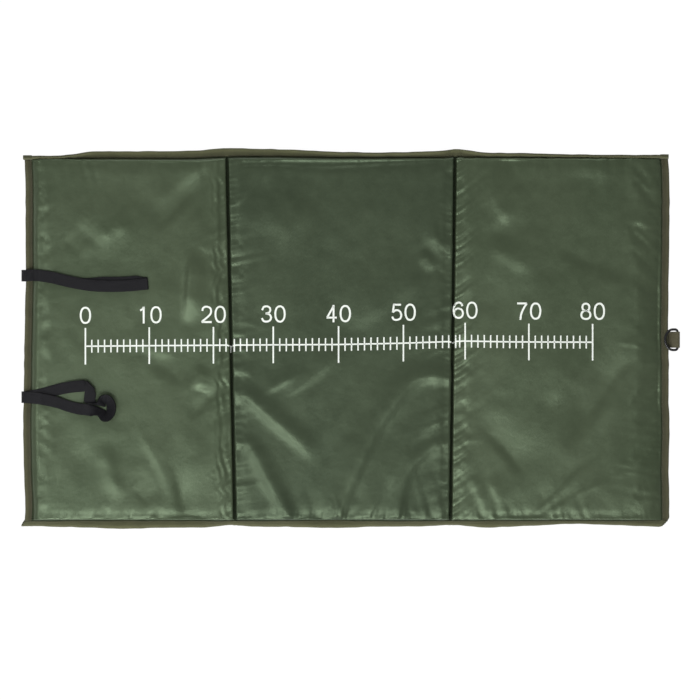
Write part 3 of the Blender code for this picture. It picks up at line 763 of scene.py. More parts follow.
def roll(distance, width):
    inside = np.clip(distance / width, 0, 1)
    return np.sqrt(np.maximum(1 - (1 - inside) ** 2, 0))


def swell(line, distance):
    width, lift, reach = mat["rolls"][line]
    crown = np.sin(math.pi / 2 * np.clip(distance / reach, 0, 1))
    return lift * roll(distance, width) + (1 - lift) * crown


def planOf(side, coarsest, finest):
    # a panel's straight pattern: for every grid place its plan and its distances to the sewn lines
    kinds = panels[side]
    lowSewn, highSewn = mat[kinds["lowKind"] + "Sewn"], mat[kinds["highKind"] + "Sewn"]
    depth = 2 * (halfDepth - mat["edgeSewn"])
    meanWidth = lineX(kinds["high"], 0) - highSewn - lineX(kinds["low"], 0) - lowSewn
    lowHem = hemSteps(kinds["lowKind"], coarsest)
    highHem = meanWidth - hemSteps(kinds["highKind"], coarsest)[::-1]
    across = np.concatenate([lowHem, spread(meanWidth, coarsest, finest), highHem])
    hem = hemSteps("edge", coarsest)
    along = np.concatenate([hem, spread(depth, coarsest, finest), depth - hem[::-1]])
    y = along[:, None] - depth / 2 + 0 * across[None, :]
    low, high = lineX(kinds["low"], y) + lowSewn, lineX(kinds["high"], y) - highSewn
    share = np.clip(across / meanWidth, 0, 1)[None, :]
    x = low + share * (high - low) + (across - np.clip(across, 0, meanWidth))[None, :]
    plan = {"across": across, "along": along, "x": x, "y": y, "fromLow": x - low,
            "fromHigh": high - x, "fromFront": y + depth / 2, "fromRear": depth / 2 - y}
    plan["nearX"] = np.minimum(plan["fromLow"], plan["fromHigh"])
    plan["nearY"] = np.minimum(plan["fromFront"], plan["fromRear"])
    return plan


def clothsOf(side, plan):
    # the top and the base cloth over the pattern
    across = np.where(plan["fromLow"] < plan["fromHigh"],
                      swell("left" if side == "left" else "fold", plan["fromLow"]),
                      swell("right" if side == "right" else "fold", plan["fromHigh"]))
    along = np.where(plan["fromFront"] < plan["fromRear"],
                     swell("front", plan["fromFront"]), swell("rear", plan["fromRear"]))
    hemTop = level + mat["hem"]
    top = hemTop + (mat["crown"] - hemTop) * across * along
    fall = roll(plan["nearX"], mat["baseRoll"]) * roll(plan["nearY"], mat["baseRoll"])
    base = (level - mat["hem"]) * (1 - fall)
    return [np.stack([plan["x"], plan["y"], z], -1) for z in (top, base)]


def leanWalls(side, plan, points, share=1.0):
    # the padding bulges over the narrow groove of a fold seam
    for kind, distance, sign in (("lowKind", "fromLow", -1), ("highKind", "fromHigh", 1)):
        if panels[side][kind] == "fold":
            inside = np.sqrt(np.clip(plan[distance] / panelForm["wallReach"], 0, 1))
            points[..., 0] += sign * share * panelForm["wallLean"] * np.sin(math.pi * inside)


def joinRims(top, base):
    # the rims of both cloths meet halfway
    for edge in ((0, slice(None)), (-1, slice(None)), (slice(None), 0), (slice(None), -1)):
        top[edge] = base[edge] = (top[edge] + base[edge]) / 2


def closedPad(name, top, base):
    # two grids sewn together at their shared rim
    rows, columns = top.shape[:2]
    index = np.arange(rows * columns).reshape(rows, columns)
    under = index.copy()
    inner = index[1:-1, 1:-1]
    under[1:-1, 1:-1] = rows * columns + np.arange(inner.size).reshape(inner.shape)
    front = np.stack([index[:-1, :-1], index[:-1, 1:], index[1:, 1:], index[1:, :-1]], -1)
    back = np.stack([under[:-1, :-1], under[1:, :-1], under[1:, 1:], under[:-1, 1:]], -1)
    corners = np.concatenate([front.reshape(-1, 4), back.reshape(-1, 4)])
    points = np.concatenate([top.reshape(-1, 3), base[1:-1, 1:-1].reshape(-1, 3)])
    return meshPiece(name, points, corners.tolist()), index, under


def blurred(grid, cells):
    kernel = np.hanning(2 * cells + 3)[1:-1]
    kernel /= kernel.sum()
    for axis in (0, 1):
        margins = [(cells, cells) if k == axis else (0, 0) for k in range(3)]
        grid = np.apply_along_axis(np.convolve, axis, np.pad(grid, margins, mode="edge"), kernel,
                                   "valid")
    return grid


def settled(side):
    # blows up a coarse copy of the panel as loose cloth, and tells how far each place moved
    plan = planOf(side, panelForm["coarse"], panelForm["coarse"] * 0.5)
    top, base = clothsOf(side, plan)
    joinRims(top, base)
    pad, index, under = closedPad("loosePad", top, base)
    start = readPoints(pad)
    held = np.zeros(len(start))
    held[index.ravel()] = (np.minimum(plan["nearX"], plan["nearY"]) < 0.001).ravel()
    held[under.ravel()] = 1
    group = pad.vertex_groups.new(name="sewn")
    group.add([int(k) for k in np.flatnonzero(held)], 1.0, "REPLACE")
    pick(pad)
    bpy.ops.object.modifier_add(type="CLOTH")
    cloth = pad.modifiers[-1]
    cloth.settings.vertex_group_mass = "sewn"
    for name, value in panelForm["cloth"].items():
        setattr(cloth.settings, name, value)
    cloth.settings.effector_weights.gravity = 0
    cloth.point_cache.frame_end = panelForm["frames"]
    for step in range(1, panelForm["frames"] + 1):
        bpy.context.scene.frame_set(step)
    bpy.ops.object.modifier_apply(modifier=cloth.name)
    moved = (readPoints(pad) - start)[index]
    bpy.data.objects.remove(pad)
    bpy.context.scene.frame_set(1)
    # only the creases are kept, not the swelling as a whole, and the hems stay pressed flat
    size = np.linalg.norm(moved, axis=-1, keepdims=True)
    moved *= np.minimum(1, panelForm["mostMoved"] / np.maximum(size, 1e-9))
    moved -= blurred(moved, int(panelForm["creaseReach"] / panelForm["coarse"]))
    reach, sides = panelForm["creaseReach"], panelForm["calmSides"]
    calm = smoothStep(plan["nearY"] / reach) * (
        sides + (1 - sides) * smoothStep(plan["nearX"] / reach))
    moved *= panelForm["settling"] * calm[..., None]
    print(f"  {side} panel settled, moved {size.max() * 1000:.1f} mm at most")
    return plan, moved


def foldForm(side, strength, left, right, line):
    # a fold's height, crest line and two widths, and how soft its ends are
    path = smoothPath(np.array(line, float).reshape(-1, 2) * 0.001, 6)
    widths = np.array([left, right], float) * 0.001
    run = path[-1] - path[0]
    normal = np.array([-run[1], run[0]]) / max(float(np.hypot(*run)), 1e-9)
    rear = 0 if normal[1] > 0 else 1
    steep, front = abs(normal[1]), widths[1 - rear]
    # the given line is the middle of the flank on the front side, which is lit on a ridge and dark
    # in a valley, and the flank behind is long and soft
    path = path + normal * (1 if rear == 0 else -1) * front * steep
    widths[rear] *= 1 + panelForm["ridgeBack" if strength > 0 else "valleyBack"] * steep
    slope = min(abs(strength) * panelForm["slope"], panelForm["steepest"])
    # a soft ridge is steepest at one width from its crest, where it is exp(-1/2) of its height
    height = math.copysign(math.tan(math.radians(slope)) * front / 0.6065, strength)
    ends = [panelForm["fade"]] * 2
    for k in (0, 1):
        x, y = path[-k]
        toFold = min(abs(x - lineX(panels[side][end], y)) for end in ("low", "high"))
        if min(toFold, halfDepth - abs(y) - 0.011) < panelForm["nearSewn"]:
            # a fold that reaches a sewn line runs on past it
            beyond = path[-k] + (path[-k] - path[1 if k == 0 else -2]) * 12
            path = np.concatenate([path, beyond[None]] if k else [beyond[None], path])
            ends[k] = panelForm["fadeSewn"]
    return height, path, widths, ends


def foldRelief(side, x, y):
    # the named folds, each a soft ridge or valley along its line
    relief = np.zeros_like(x)
    for fold in folds[side]:
        height, path, widths, ends = foldForm(side, *fold)
        reach = 4 * widths.max()
        low, high = path.min(0) - reach, path.max(0) + reach
        near = (x > low[0]) & (x < high[0]) & (y > low[1]) & (y < high[1])
        if not near.any():
            continue
        at = np.stack([x[near], y[near]], 1)
        best = np.full(len(at), 1e9)
        turn, share = np.zeros(len(at)), np.zeros(len(at))
        walked = walkedAlong(path)
        for k in range(len(path) - 1):
            step = path[k + 1] - path[k]
            length = max(float(np.hypot(*step)), 1e-9)
            lowest = -1.0 if k == 0 else 0.0
            highest = 2.0 if k == len(path) - 2 else 1.0
            t = np.clip(((at - path[k]) @ step) / length**2, lowest, highest)
            away = at - path[k] - t[:, None] * step
            distance = np.hypot(away[:, 0], away[:, 1])
            closer = distance < best
            best[closer] = distance[closer]
            turn[closer] = (step[0] * away[:, 1] - step[1] * away[:, 0])[closer]
            share[closer] = ((walked[k] + t * length) / walked[-1])[closer]
        taper = smoothStep(share / ends[0]) * smoothStep((1 - share) / ends[1])
        grown = np.ones(len(at))
        for end, along in ((ends[0], share), (ends[1], 1 - share)):
            if end == panelForm["fadeSewn"]:
                # a fold is narrow where it leaves a sewn line
                grown *= panelForm["narrow"] + (1 - panelForm["narrow"]) * smoothStep(along / 0.35)
        width = np.where(turn > 0, widths[0], widths[1]) * grown
        relief[near] += height * grown * taper * np.exp(-0.5 * (best / width) ** 2)
    return relief


def puckerRelief(side, plan, seed):
    # gathers across the sewn lines, finer near them
    relief = np.zeros_like(plan["x"])
    rows = (("low", "fromLow", plan["y"]), ("high", "fromHigh", plan["y"]),
            ("front", "fromFront", plan["x"]), ("rear", "fromRear", plan["x"]))
    for number, (name, distance, line) in enumerate(rows):
        inside = np.maximum(plan[distance], 0)
        for layer, (height, pitch, reach, slant) in enumerate(puckers[side][name]):
            at = line - slant * inside
            chance = seed + 10 * number + layer
            waves = softLine(chance, at, pitch * 0.0005 * 1.1)
            strength = 0.65 + 0.5 * softLine(chance + 200, at, pitch * 0.004)
            fade = np.exp(-inside / (reach * 0.001)) * smoothStep(inside / 0.0030)
            relief += height * 0.001 * waves * strength * fade
    return relief


def rippleRelief(plan):
    # ripples that run along the left fold seam
    inside = plan["fromHigh"]
    waves = np.sin(2 * math.pi * (inside / panelForm["ripplePitch"]
                                  + 0.5 * softLine(5, plan["y"], 0.05)
                                  + 0.45 * softLine(7, plan["y"], 0.012)))
    strength = 0.5 + 0.5 * softLine(6, plan["y"], 0.03)
    fade = smoothStep((inside - 0.001) / 0.006) * smoothStep((0.030 - inside) / 0.012)
    return panelForm["ripple"] * waves * strength * fade


def pressFlat(piece, side):
    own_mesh(piece)


def makePanel(side, seed):
    plan = planOf(side, panelForm["fine"], panelForm["finest"])
    top, base = clothsOf(side, plan)
    leanWalls(side, plan, top)
    leanWalls(side, plan, base, 0.5)
    coarse, moved = settled(side)
    down = curveWeights(coarse["along"], plan["along"])
    across = curveWeights(coarse["across"], plan["across"])
    top += np.einsum("ri,ijk,cj->rck", down, moved, across)
    inside = np.minimum(plan["nearX"], plan["nearY"])
    relief = foldRelief(side, plan["x"], plan["y"])
    if side == "left":
        relief += rippleRelief(plan)
    for k, (height, down, across) in enumerate(panelForm["waves"]):
        relief += height * softField(seed + k, plan["along"], plan["across"], down, across)
    relief *= smoothStep(inside / 0.004) * smoothStep(plan["nearY"] / 0.007)
    relief += puckerRelief(side, plan, seed)
    outward = unit(np.cross(np.gradient(top, axis=1), np.gradient(top, axis=0)))
    top += outward * relief[..., None]
    sag = panelForm["sag"] * (1 + softField(seed + 2, plan["along"], plan["across"], 0.03, 0.03))
    base[..., 2] += np.maximum(sag, 0) * smoothStep(inside / 0.02)
    top[..., 2] = np.maximum(top[..., 2], base[..., 2] + 0.0003)
    # the map of the cloth runs along its surface
    stepX = np.linalg.norm(np.diff(top, axis=1), axis=2)
    stepY = np.linalg.norm(np.diff(top, axis=0), axis=2)
    u = np.concatenate([np.zeros((len(top), 1)), np.cumsum(stepX, 1)], 1)
    v = np.concatenate([np.zeros((1, top.shape[1])), np.cumsum(stepY, 0)], 0)
    u -= u[:, [u.shape[1] // 2]]
    v -= v[[len(v) // 2], :]
    joinRims(top, base)
    top, base = (dress(cloth.reshape(-1, 3)).reshape(cloth.shape) for cloth in (top, base))
    piece, index, under = closedPad(side + "Panel", top, base)
    places = np.zeros((len(piece.data.vertices), 2))
    for cloth in (under, index):
        places[cloth.ravel()] = np.stack([u, v], -1).reshape(-1, 2)
    writeMap(piece, places)
    # the middle panel takes the copy of the nylon darkened with painted shade
    piece.data.materials.append(middlePaintedShadeCloth if side == "middle" else topCloth)
    piece.data.materials.append(baseCloth)
    count = len(piece.data.polygons) // 2
    piece.data.polygons.foreach_set("material_index", np.repeat([0, 1], count))
    smooth(piece)
    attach(piece, side + "_panel")
    pressFlat(piece, side)
    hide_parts("top_cover_" + side, "base_cover_" + side, "foam_pad_" + side)


for k, side in enumerate(panels):
    makePanel(side, 100 * (k + 1))
print("panels made")

# Fold seams: the strip of cloth between two panels
seams = {
    "left": {"line": "leftFold", "bodies": ("left_panel", "middle_panel")},
    "right": {"line": "rightFold", "bodies": ("middle_panel", "right_panel")},
    "halfWidth": 0.0033, "bendHalf": 0.0030, "cells": 24, "step": 0.003, "lift": 0.0005,
    "unevenness": 0.00025, "thickness": 0.0010, "inset": 0.0016,
}


def bendAcross(piece, side):
    front, rear = mat[seams[side]["line"]]
    middle = Vector((lineX(seams[side]["line"], 0), 0, level))
    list(seams[side]["bodies"])
    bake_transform(piece)


def dressedStrip(name, rows, thickness, material, degrees=60):
    # a strip of cloth that follows the soft edges
    piece = flatStrip(name, rows)
    writePoints(piece, dress(readPoints(piece)))
    return thicken(piece, thickness, material, degrees)


for side in ("left", "right"):
    reach = halfDepth - seams["inset"]
    y = np.linspace(-reach, reach, int(2 * reach / seams["step"]) + 1)[:, None]
    share = np.linspace(-1, 1, seams["cells"] + 1)[None, :]
    x = lineX(seams[side]["line"], y) + share * seams["halfWidth"]
    lift = seams["lift"] + seams["unevenness"] * softLine(77, y, 0.004)
    z = level + lift * np.cos(share * math.pi / 2)
    # the strip takes the nylon darkened with painted shade for the groove
    strip = dressedStrip(side + "SeamStrip", np.stack([x, y + 0 * x, z], -1), seams["thickness"],
                         seamPaintedShadeCloth, 50)
    bendAcross(strip, side)
    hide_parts("fold_seam_" + side)
print("seam strips made")

# Binding tape: folded over the hems all round
tape = {
    "width": 0.0108, "thickness": 0.0008, "middle": 0.00165, "step": 0.0024, "bendStep": 0.0004,
    "overlap": 0.0009, "cornerReach": 0.0128,
    # how far the tapes of the front and the rear pass the mat's left end, and how they lean there
    "tails": {"front": (0.006, 0.55), "rear": (0.0012, 0.0)},
    "rightTail": 0.0008, "endInset": 0.0004, "seamOverlap": 0.0002,
    "profile": ((0.0108, 1.04), (0.0100, 0.98), (0.0092, 0.90), (0.0084, 0.97), (0.0068, 1.10),
                (0.0050, 1.16), (0.0032, 1.15), (0.0018, 1.02), (0.0007, 0.74), (0.0002, 0.40),
                (0.0, 0.0)),
    "stitchInset": 0.0092, "stitchPitch": 0.0034, "stitchLift": 0.0001, "stitchWander": 0.0002,
    "stitch": (0.0005, 0.00135, 0.00038),       # half a stitch's width, length and height
}
cut = seams["bendHalf"]


def onEdge(row, at, inset):
    # the place along and in from one of the four edges
    if row in ("front", "rear"):
        return at, (halfDepth - inset) * (1 if row == "rear" else -1)
    return (halfLength - inset) * (1 if row == "right" else -1), at


def edgeTape(name, row, low, high, seed, slants=(0, 0), raised=False, step=tape["step"]):
    # row: which edge; low and high: where the tape runs; slants: how its ends lean with the inset
    share = np.linspace(0, 1, int((high - low) / step) + 1)[:, None]
    upper = [(a, b * tape["middle"]) for a, b in tape["profile"]]
    profile = np.array(upper + [(a, -b) for a, b in reversed(upper[:-1])])
    inset, height = profile[None, :, 0], profile[None, :, 1]
    starts, ends = low + slants[0] * inset, high + slants[1] * inset
    at = starts + share * (ends - starts)
    wobble = 1 + 0.03 * softLine(seed, at[:, 0], 0.02)[:, None] * (inset > 0.005)
    height = height * (1 + 0.05 * softLine(seed + 1, at[:, 0], 0.007)[:, None])
    if raised:
        corner = smoothStep((np.abs(at) - halfLength + tape["cornerReach"]) / 0.002)
        height = height + np.sign(height) * tape["overlap"] * corner
    rows = np.stack([*onEdge(row, at, inset * wobble), level + height], -1)
    # the two ends get the tape darkened with painted shade
    piece = dressedStrip(name, rows, tape["thickness"],
                         tapeCloth if row in ("front", "rear") else endTapePaintedShadeCloth)
    return piece


def seamAt(side, row):
    return lineX(seams[side]["line"], halfDepth * (1 if row == "rear" else -1))


def spansOf(row, low, high):
    # where each panel's part of the front or rear edge runs
    leftAt, rightAt = seamAt("left", row), seamAt("right", row)
    return (("left", low, leftAt - cut), ("middle", leftAt + cut, rightAt - cut),
            ("right", rightAt + cut, high))


for k, row in enumerate(("front", "rear")):
    turn = 1 if row == "rear" else -1
    tail, tailSlant = tape["tails"][row]
    leftSlant, rightSlant = (turn * (mat[line][0] - mat[line][1]) / (2 * halfDepth)
                             for line in ("leftFold", "rightFold"))
    slants = {"left": (tailSlant, leftSlant), "middle": (leftSlant, rightSlant),
              "right": (rightSlant, 0)}
    for side, low, high in spansOf(row, -halfLength - tail, halfLength + tape["rightTail"]):
        piece = edgeTape(f"{row}{side.title()}Tape", row, low, high, 40 + 7 * k, slants[side], True)
        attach(piece, side + "_panel")
        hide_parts(f"binding_{row}_{side}")
    for side, slant in (("left", leftSlant), ("right", rightSlant)):
        at, more = seamAt(side, row), tape["seamOverlap"]
        piece = edgeTape(f"{row}{side.title()}SeamTape", row, at - cut - more, at + cut + more,
                         60 + 7 * k, (slant, slant), step=tape["bendStep"])
        bendAcross(piece, side)
for k, side in enumerate(("left", "right")):
    reach = halfDepth - tape["endInset"]
    piece = edgeTape(side + "EndTape", side, -reach, reach, 80 + 7 * k)
    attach(piece, side + "_panel")
    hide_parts("binding_" + side)
print("binding made")


# What loops and print lie on
def surfaceOf(names):
    points, faces = [], []
    for name in names:
        piece = bpy.data.objects[name]
        first = len(points)
        points += [tuple(p) for p in readPoints(piece)]
        faces += [tuple(first + k for k in polygon.vertices) for polygon in piece.data.polygons]
    return BVHTree.FromPolygons(points, faces)


def below(surface, x, y):
    # the place and the normal of the surface straight below
    return surface.ray_cast(Vector((x, y, 0.2)), Vector((0, 0, -1)))[:2]


leftTop = surfaceOf(["leftPanel", "leftEndTape"])

# Elastic loops
loops = {
    "width": 0.018, "thickness": 0.0015, "layerGap": 0.0006, "rest": 0.0003,
    "turnX": -0.5003, "innerTurn": 0.0031, "outerTurn": 0.0055, "sewnLength": 0.011,
    "turnSteps": 10, "upperY": 0.0997, "lowerY": -0.0894, "cellsAcross": 6, "step": 0.0022,
    "bendX": -0.5065, "bendLow": 0.0060, "bendHigh": 0.0105, "bindingTop": 0.00205,
}
upperLoop = {
    "reach": 0.190,
    "route": ((0, 0), (0.082, 0.003), (0.21, -0.014), (0.365, -0.050), (0.52, -0.078),
              (0.675, -0.087), (0.835, -0.084), (1, -0.068)),
    "slip": 0.0055,          # how far the lower layer peeks out behind the upper one
    "slipFrom": 0.42, "slipWithin": 0.25,
}
lowerLoop = {
    "runOut": ((0, 0), (1.3, 0.25), (2.7, 0.62), (4.0, 0.88), (5.1, 0.98)),
    "crease": (5.68, 1.01),
    "drop": ((5.66, 0.3), (5.66, -0.42)), "dropLift": (0.0035, 0.001), "creaseLift": 0.005,
    "curlCentre": (6.98, -0.93), "curlSize": (0.50, 0.76), "curlLean": 37,
    "curlStart": 160, "curlTurn": -308, "curlKeys": 9,
    "runBack": ((5.35, -1.08), (4.55, -0.98), (3.6, -0.73), (2.69, -0.42), (1.3, -0.12)),
    "backLift": (0.30, 0.10, 0.12, 0.22, 0.22),
}
layerStep = loops["thickness"] + loops["layerGap"]
lipHeight = level + loops["innerTurn"]
flatAcross = np.array([0, 1.0, 0])


def heightOn(x, y):
    hit = below(leftTop, x, y)[0]
    return hit.z if hit else level + loops["bindingTop"]


def sidewaysOf(row):
    ahead = aheadOf(row)
    return unit(np.stack([-ahead[:, 1], ahead[:, 0], 0 * ahead[:, 0]], 1))


def tautHeights(plan, within):
    # a band laid over the panel stands straight where the panel falls away beneath it
    sides = sidewaysOf(np.c_[plan, np.zeros(len(plan))])[:, :2]
    half = loops["width"] / 2
    high = [max(heightOn(*(p + s * half * k)) for k in (-1, -0.5, 0, 0.5, 1))
            for p, s in zip(plan, sides)]
    walked = walkedAlong(plan)
    hull = []
    for at, z in zip(walked, high):
        while len(hull) > 1:
            (s0, z0), (s1, z1) = hull[-2], hull[-1]
            if (z1 - z0) * (at - s0) > (z - z0) * (s1 - s0):
                break
            hull.pop()
        hull.append((at, z))
    hull = np.array(hull)
    straight = np.interp(walked, hull[:, 0], hull[:, 1])
    # the cloth under it gives, so it isn't quite straight, and it starts from the turn at the lip
    taut = 0.5 * straight + 0.5 * np.maximum(np.array(high), straight - 0.004) + loops["rest"]
    taut += loops["thickness"] / 2
    blendIn = smoothStep(np.linspace(0, 1, len(plan)) / within)
    return taut * blendIn + lipHeight * (1 - blendIn)


def turnRound(y, radius, start, end):
    # round the lip in the plane of the mat's length; an angle of zero points along +x
    angles = np.radians(np.linspace(start, end, loops["turnSteps"] + 1))
    return np.stack([loops["turnX"] + radius * np.cos(angles), y + 0 * angles,
                     level + radius * np.sin(angles)], 1)


def turnOver(low, high, outward):
    # where a band turns over, from its lower layer to its upper one
    angles = np.radians(np.linspace(-90, 90, 9))[:, None]
    return ((low + high) / 2 + np.cos(angles) * outward * layerStep / 2
            + np.sin(angles) * (high - low) / 2)


def makeBand(name, centres, widths, width, thickness, cells, material):
    spots = np.linspace(-0.5, 0.5, cells + 1) * width
    rows = centres[:, None, :] + spots[None, :, None] * unit(widths)[:, None, :]
    return thicken(flatStrip(name, rows), thickness, material, bevel=0.28)


def sewnEnd(y, radius, backwards=False):
    end = np.array([[-halfLength + loops["sewnLength"], y, level - radius],
                    [-halfLength + 0.004, y, level - radius]])
    row = np.concatenate([end, turnRound(y, radius, -90, -180), turnRound(y, radius, 180, 90)[1:]])
    return row[::-1] if backwards else row


def makeUpperLoop():
    y0 = loops["upperY"]
    keys = np.array(upperLoop["route"]) * upperLoop["reach"] + (loops["turnX"], y0)
    plan = evenly(smoothPath(keys, 12), loops["step"])
    share = np.linspace(0, 1, len(plan))
    slip = upperLoop["slip"] * smoothStep((share - upperLoop["slipFrom"])
                                            / upperLoop["slipWithin"])
    slip *= 1 - 0.75 * smoothStep((share - 0.9) / 0.1)
    heights = np.maximum(tautHeights(plan, 0.05), lipHeight)
    sides = sidewaysOf(np.c_[plan, heights])
    lower = np.c_[plan, heights] + sides * slip[:, None]
    upper = np.c_[plan, heights + layerStep]
    far = turnOver(lower[-1], upper[-1], np.cross(sides[-1], (0, 0, 1)))[1:-1]
    start, end = sewnEnd(y0, loops["innerTurn"])[:-1], sewnEnd(y0, loops["outerTurn"], True)[1:]
    centres = np.concatenate([start, lower, far, upper[::-1], end])
    widths = np.concatenate([
        np.tile(flatAcross, (len(start), 1)), sides, np.tile(sides[-1], (len(far), 1)),
        sides[::-1], np.tile(flatAcross, (len(end), 1))])
    return centres, widths


def onMat(share, lift):
    # a place counted in the band's widths from where it leaves the lip
    x = loops["turnX"] + loops["width"] * share[0]
    y = loops["lowerY"] + loops["width"] * share[1]
    return np.array([x, y, heightOn(x, y) + loops["rest"] + loops["thickness"] / 2 + lift])


def makeLowerLoop():
    y0, width = loops["lowerY"], loops["width"]
    keys = np.array(lowerLoop["runOut"]) * width + (loops["turnX"], y0)
    plan = evenly(smoothPath(keys, 12), loops["step"])
    heights = tautHeights(plan, 0.09)
    share = np.linspace(0, 1, len(plan))
    heights += lowerLoop["creaseLift"] * smoothStep((share - 0.45) / 0.55)
    out = np.c_[plan, heights]
    low, high = (onMat(lowerLoop["crease"], lowerLoop["creaseLift"] + more)
                 for more in (0, layerStep))
    crease = turnOver(low, high, np.array([1, 1, 0]) / math.sqrt(2))
    centres = [onMat(spot, layerStep + lift)
               for spot, lift in zip(lowerLoop["drop"], lowerLoop["dropLift"])]
    widths = [np.array([-1.0, 0, 0])] * len(centres)
    lean = math.radians(lowerLoop["curlLean"])
    for turn in np.linspace(0, lowerLoop["curlTurn"], lowerLoop["curlKeys"]):
        a = math.radians(lowerLoop["curlStart"] + turn)
        towards = np.array([math.cos(a), math.sin(a)])
        spot = np.array(lowerLoop["curlCentre"]) + np.array(lowerLoop["curlSize"]) * towards
        centres.append(onMat(spot, width / 2 * math.sin(lean)))
        widths.append(np.array([*(math.cos(lean) * towards), math.sin(lean)]))
    for spot, lift in zip(lowerLoop["runBack"], lowerLoop["backLift"]):
        centres.append(onMat(spot, width * lift))
        widths.append(-flatAcross)
    centres, widths = smoothPath(centres, 8), smoothPath(widths, 8)
    start, end = sewnEnd(y0, loops["innerTurn"])[:-1], sewnEnd(y0, loops["outerTurn"], True)
    return np.concatenate([start, out, crease, centres, end]), np.concatenate([
        np.tile(flatAcross, (len(start) + len(out), 1)), np.tile([-1.0, 1, 0], (len(crease), 1)),
        widths, np.tile(-flatAcross, (len(end), 1))])


for name, make in (("upper", makeUpperLoop), ("lower", makeLowerLoop)):
    band = makeBand(name + "ElasticLoop", *make(), loops["width"], loops["thickness"],
                    loops["cellsAcross"], elasticCloth)
    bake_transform(band)
    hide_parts("elastic_loop_" + name, "loop_end_" + name)
print("loops made")

# D-ring and its tab
ring = {
    "wire": 0.004, "width": 0.036, "reach": 0.0198, "arm": 0.007, "corner": 0.004, "tilt": 12,
    "barX": 0.5148, "barZ": 0.0090, "around": 144, "sides": 20,
    "squareness": 0.06,       # a moulding is a little square in section
}
ringTab = {
    "width": 0.025, "webbing": 0.0015, "gap": 0.0003, "bendOut": 0.002, "sewnLength": 0.011,
    "eyeStart": 120, "eyeEnd": -78, "under": 0.00595, "cells": 8, "step": 0.0009,
}


def makeRing():
    half = (ring["width"] - ring["wire"]) / 2
    quarter = np.radians(np.linspace(0, 90, 9))
    corner = np.stack([-ring["corner"] * (1 - np.cos(quarter)),
                       half - ring["corner"] * (1 - np.sin(quarter))], 1)
    turn = np.radians(np.linspace(0, 180, 61))
    bow = np.stack([-ring["arm"] - (ring["reach"] - ring["arm"]) * np.sin(turn),
                    half * np.cos(turn)], 1)
    path = evenly(np.concatenate([corner, bow, corner[::-1] * (1, -1), corner[:1]]), 0.0001)
    walked = np.linspace(0, len(path) - 1, ring["around"] + 1)[:-1]
    path = np.stack([np.interp(walked, np.arange(len(path)), path[:, k]) for k in (0, 1)], 1)
    ahead = unit(np.roll(path, -1, 0) - np.roll(path, 1, 0))
    deselectAll()
    bpy.ops.mesh.primitive_torus_add(major_segments=ring["around"], minor_segments=ring["sides"],
                                     major_radius=0.016, minor_radius=ring["wire"] / 2)
    piece = bpy.context.object
    piece.name = piece.data.name = "dRing"
    spin = np.arange(ring["sides"]) * 2 * math.pi / ring["sides"]
    radius = ring["wire"] / 2 * (1 - ring["squareness"] * np.cos(4 * spin))
    out, up = radius * np.cos(spin), radius * np.sin(spin)
    points = np.stack([path[:, None, 0] + ahead[:, None, 1] * out,
                       path[:, None, 1] - ahead[:, None, 0] * out,
                       0 * path[:, None, 0] + up], -1).reshape(-1, 3)
    tilt = Matrix.Rotation(math.radians(ring["tilt"]), 3, "Y")
    writePoints(piece, points @ np.array(tilt).T + (ring["barX"], 0, ring["barZ"]))
    piece.data.materials.append(ringPlastic)
    bpy.ops.object.mode_set(mode="EDIT")
    bpy.ops.mesh.select_all(action="SELECT")
    bpy.ops.mesh.normals_make_consistent(inside=False)
    bpy.ops.object.mode_set(mode="OBJECT")
    smooth(piece)
    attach(piece, "ring")
    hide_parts("d_ring")


def makeTab():
    webbing, gap = ringTab["webbing"], ringTab["gap"]
    radius, high = ring["wire"] / 2 + gap + webbing / 2, ringTab["under"] - gap - webbing / 2
    angles = np.radians(np.linspace(ringTab["eyeStart"], ringTab["eyeEnd"], 25))
    eye = np.stack([ring["barX"] + radius * np.cos(angles), 0 * angles,
                    ring["barZ"] + radius * np.sin(angles)], 1)
    upper = np.array([[halfLength + x, 0, high] for x in (-ringTab["sewnLength"], 0,
                                                          ringTab["bendOut"])])
    lower = upper[::-1] - (0, 0, webbing + gap)
    row = evenly(np.concatenate([upper, eye, lower]), ringTab["step"])
    piece = makeBand("ringTab", row, np.tile(flatAcross, (len(row), 1)), ringTab["width"], webbing,
                     ringTab["cells"], webbingCloth)
    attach(piece, "right_panel")
    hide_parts("ring_tab")


makeRing()
makeTab()
print("ring and tab made")

# Ruler print
ruler = {
    "majors": (-0.4062, -0.3070, -0.2073, -0.1143, -0.0128, 0.0880, 0.1840, 0.2830, 0.3821),
    "line": ((-410, -10.2), (-307, -9.3), (-207, -8.6), (-114, -8.0), (-13, -7.5), (88, -5.4),
             (184, -2.0), (246, -3.3), (283, -3.5), (385, -3.9)),
    # the seams swallow a little of the print, so the ticks beside them aren't evenly spaced
    "ticks": {2: (0.106, 0.211, 0.349, 0.451, 0.559, 0.671, 0.780, 0.889),
              5: (0.105, 0.211, 0.316, 0.421, 0.527, 0.634, 0.734, 0.848, 0.912)},
    "dip": (0.0024, 0.0036),
    "lineWidth": 0.0023, "majorLength": 0.057, "minorLength": 0.020, "tickWidth": 0.0021,
    "majorWidth": 0.0024, "digitHeight": 0.027, "digitLift": 0.0345, "advance": 0.777,
    "stroke": 0.110, "lift": 0.00016, "step": 0.0012, "cell": 0.0010,
    "beside": 0.0026, "margin": 0.0012,         # how far the print and its ticks stay off a seam
    "lostTick": (-0.0006, 0.0095, 0.0013),      # its place from the left seam, its length and width
}
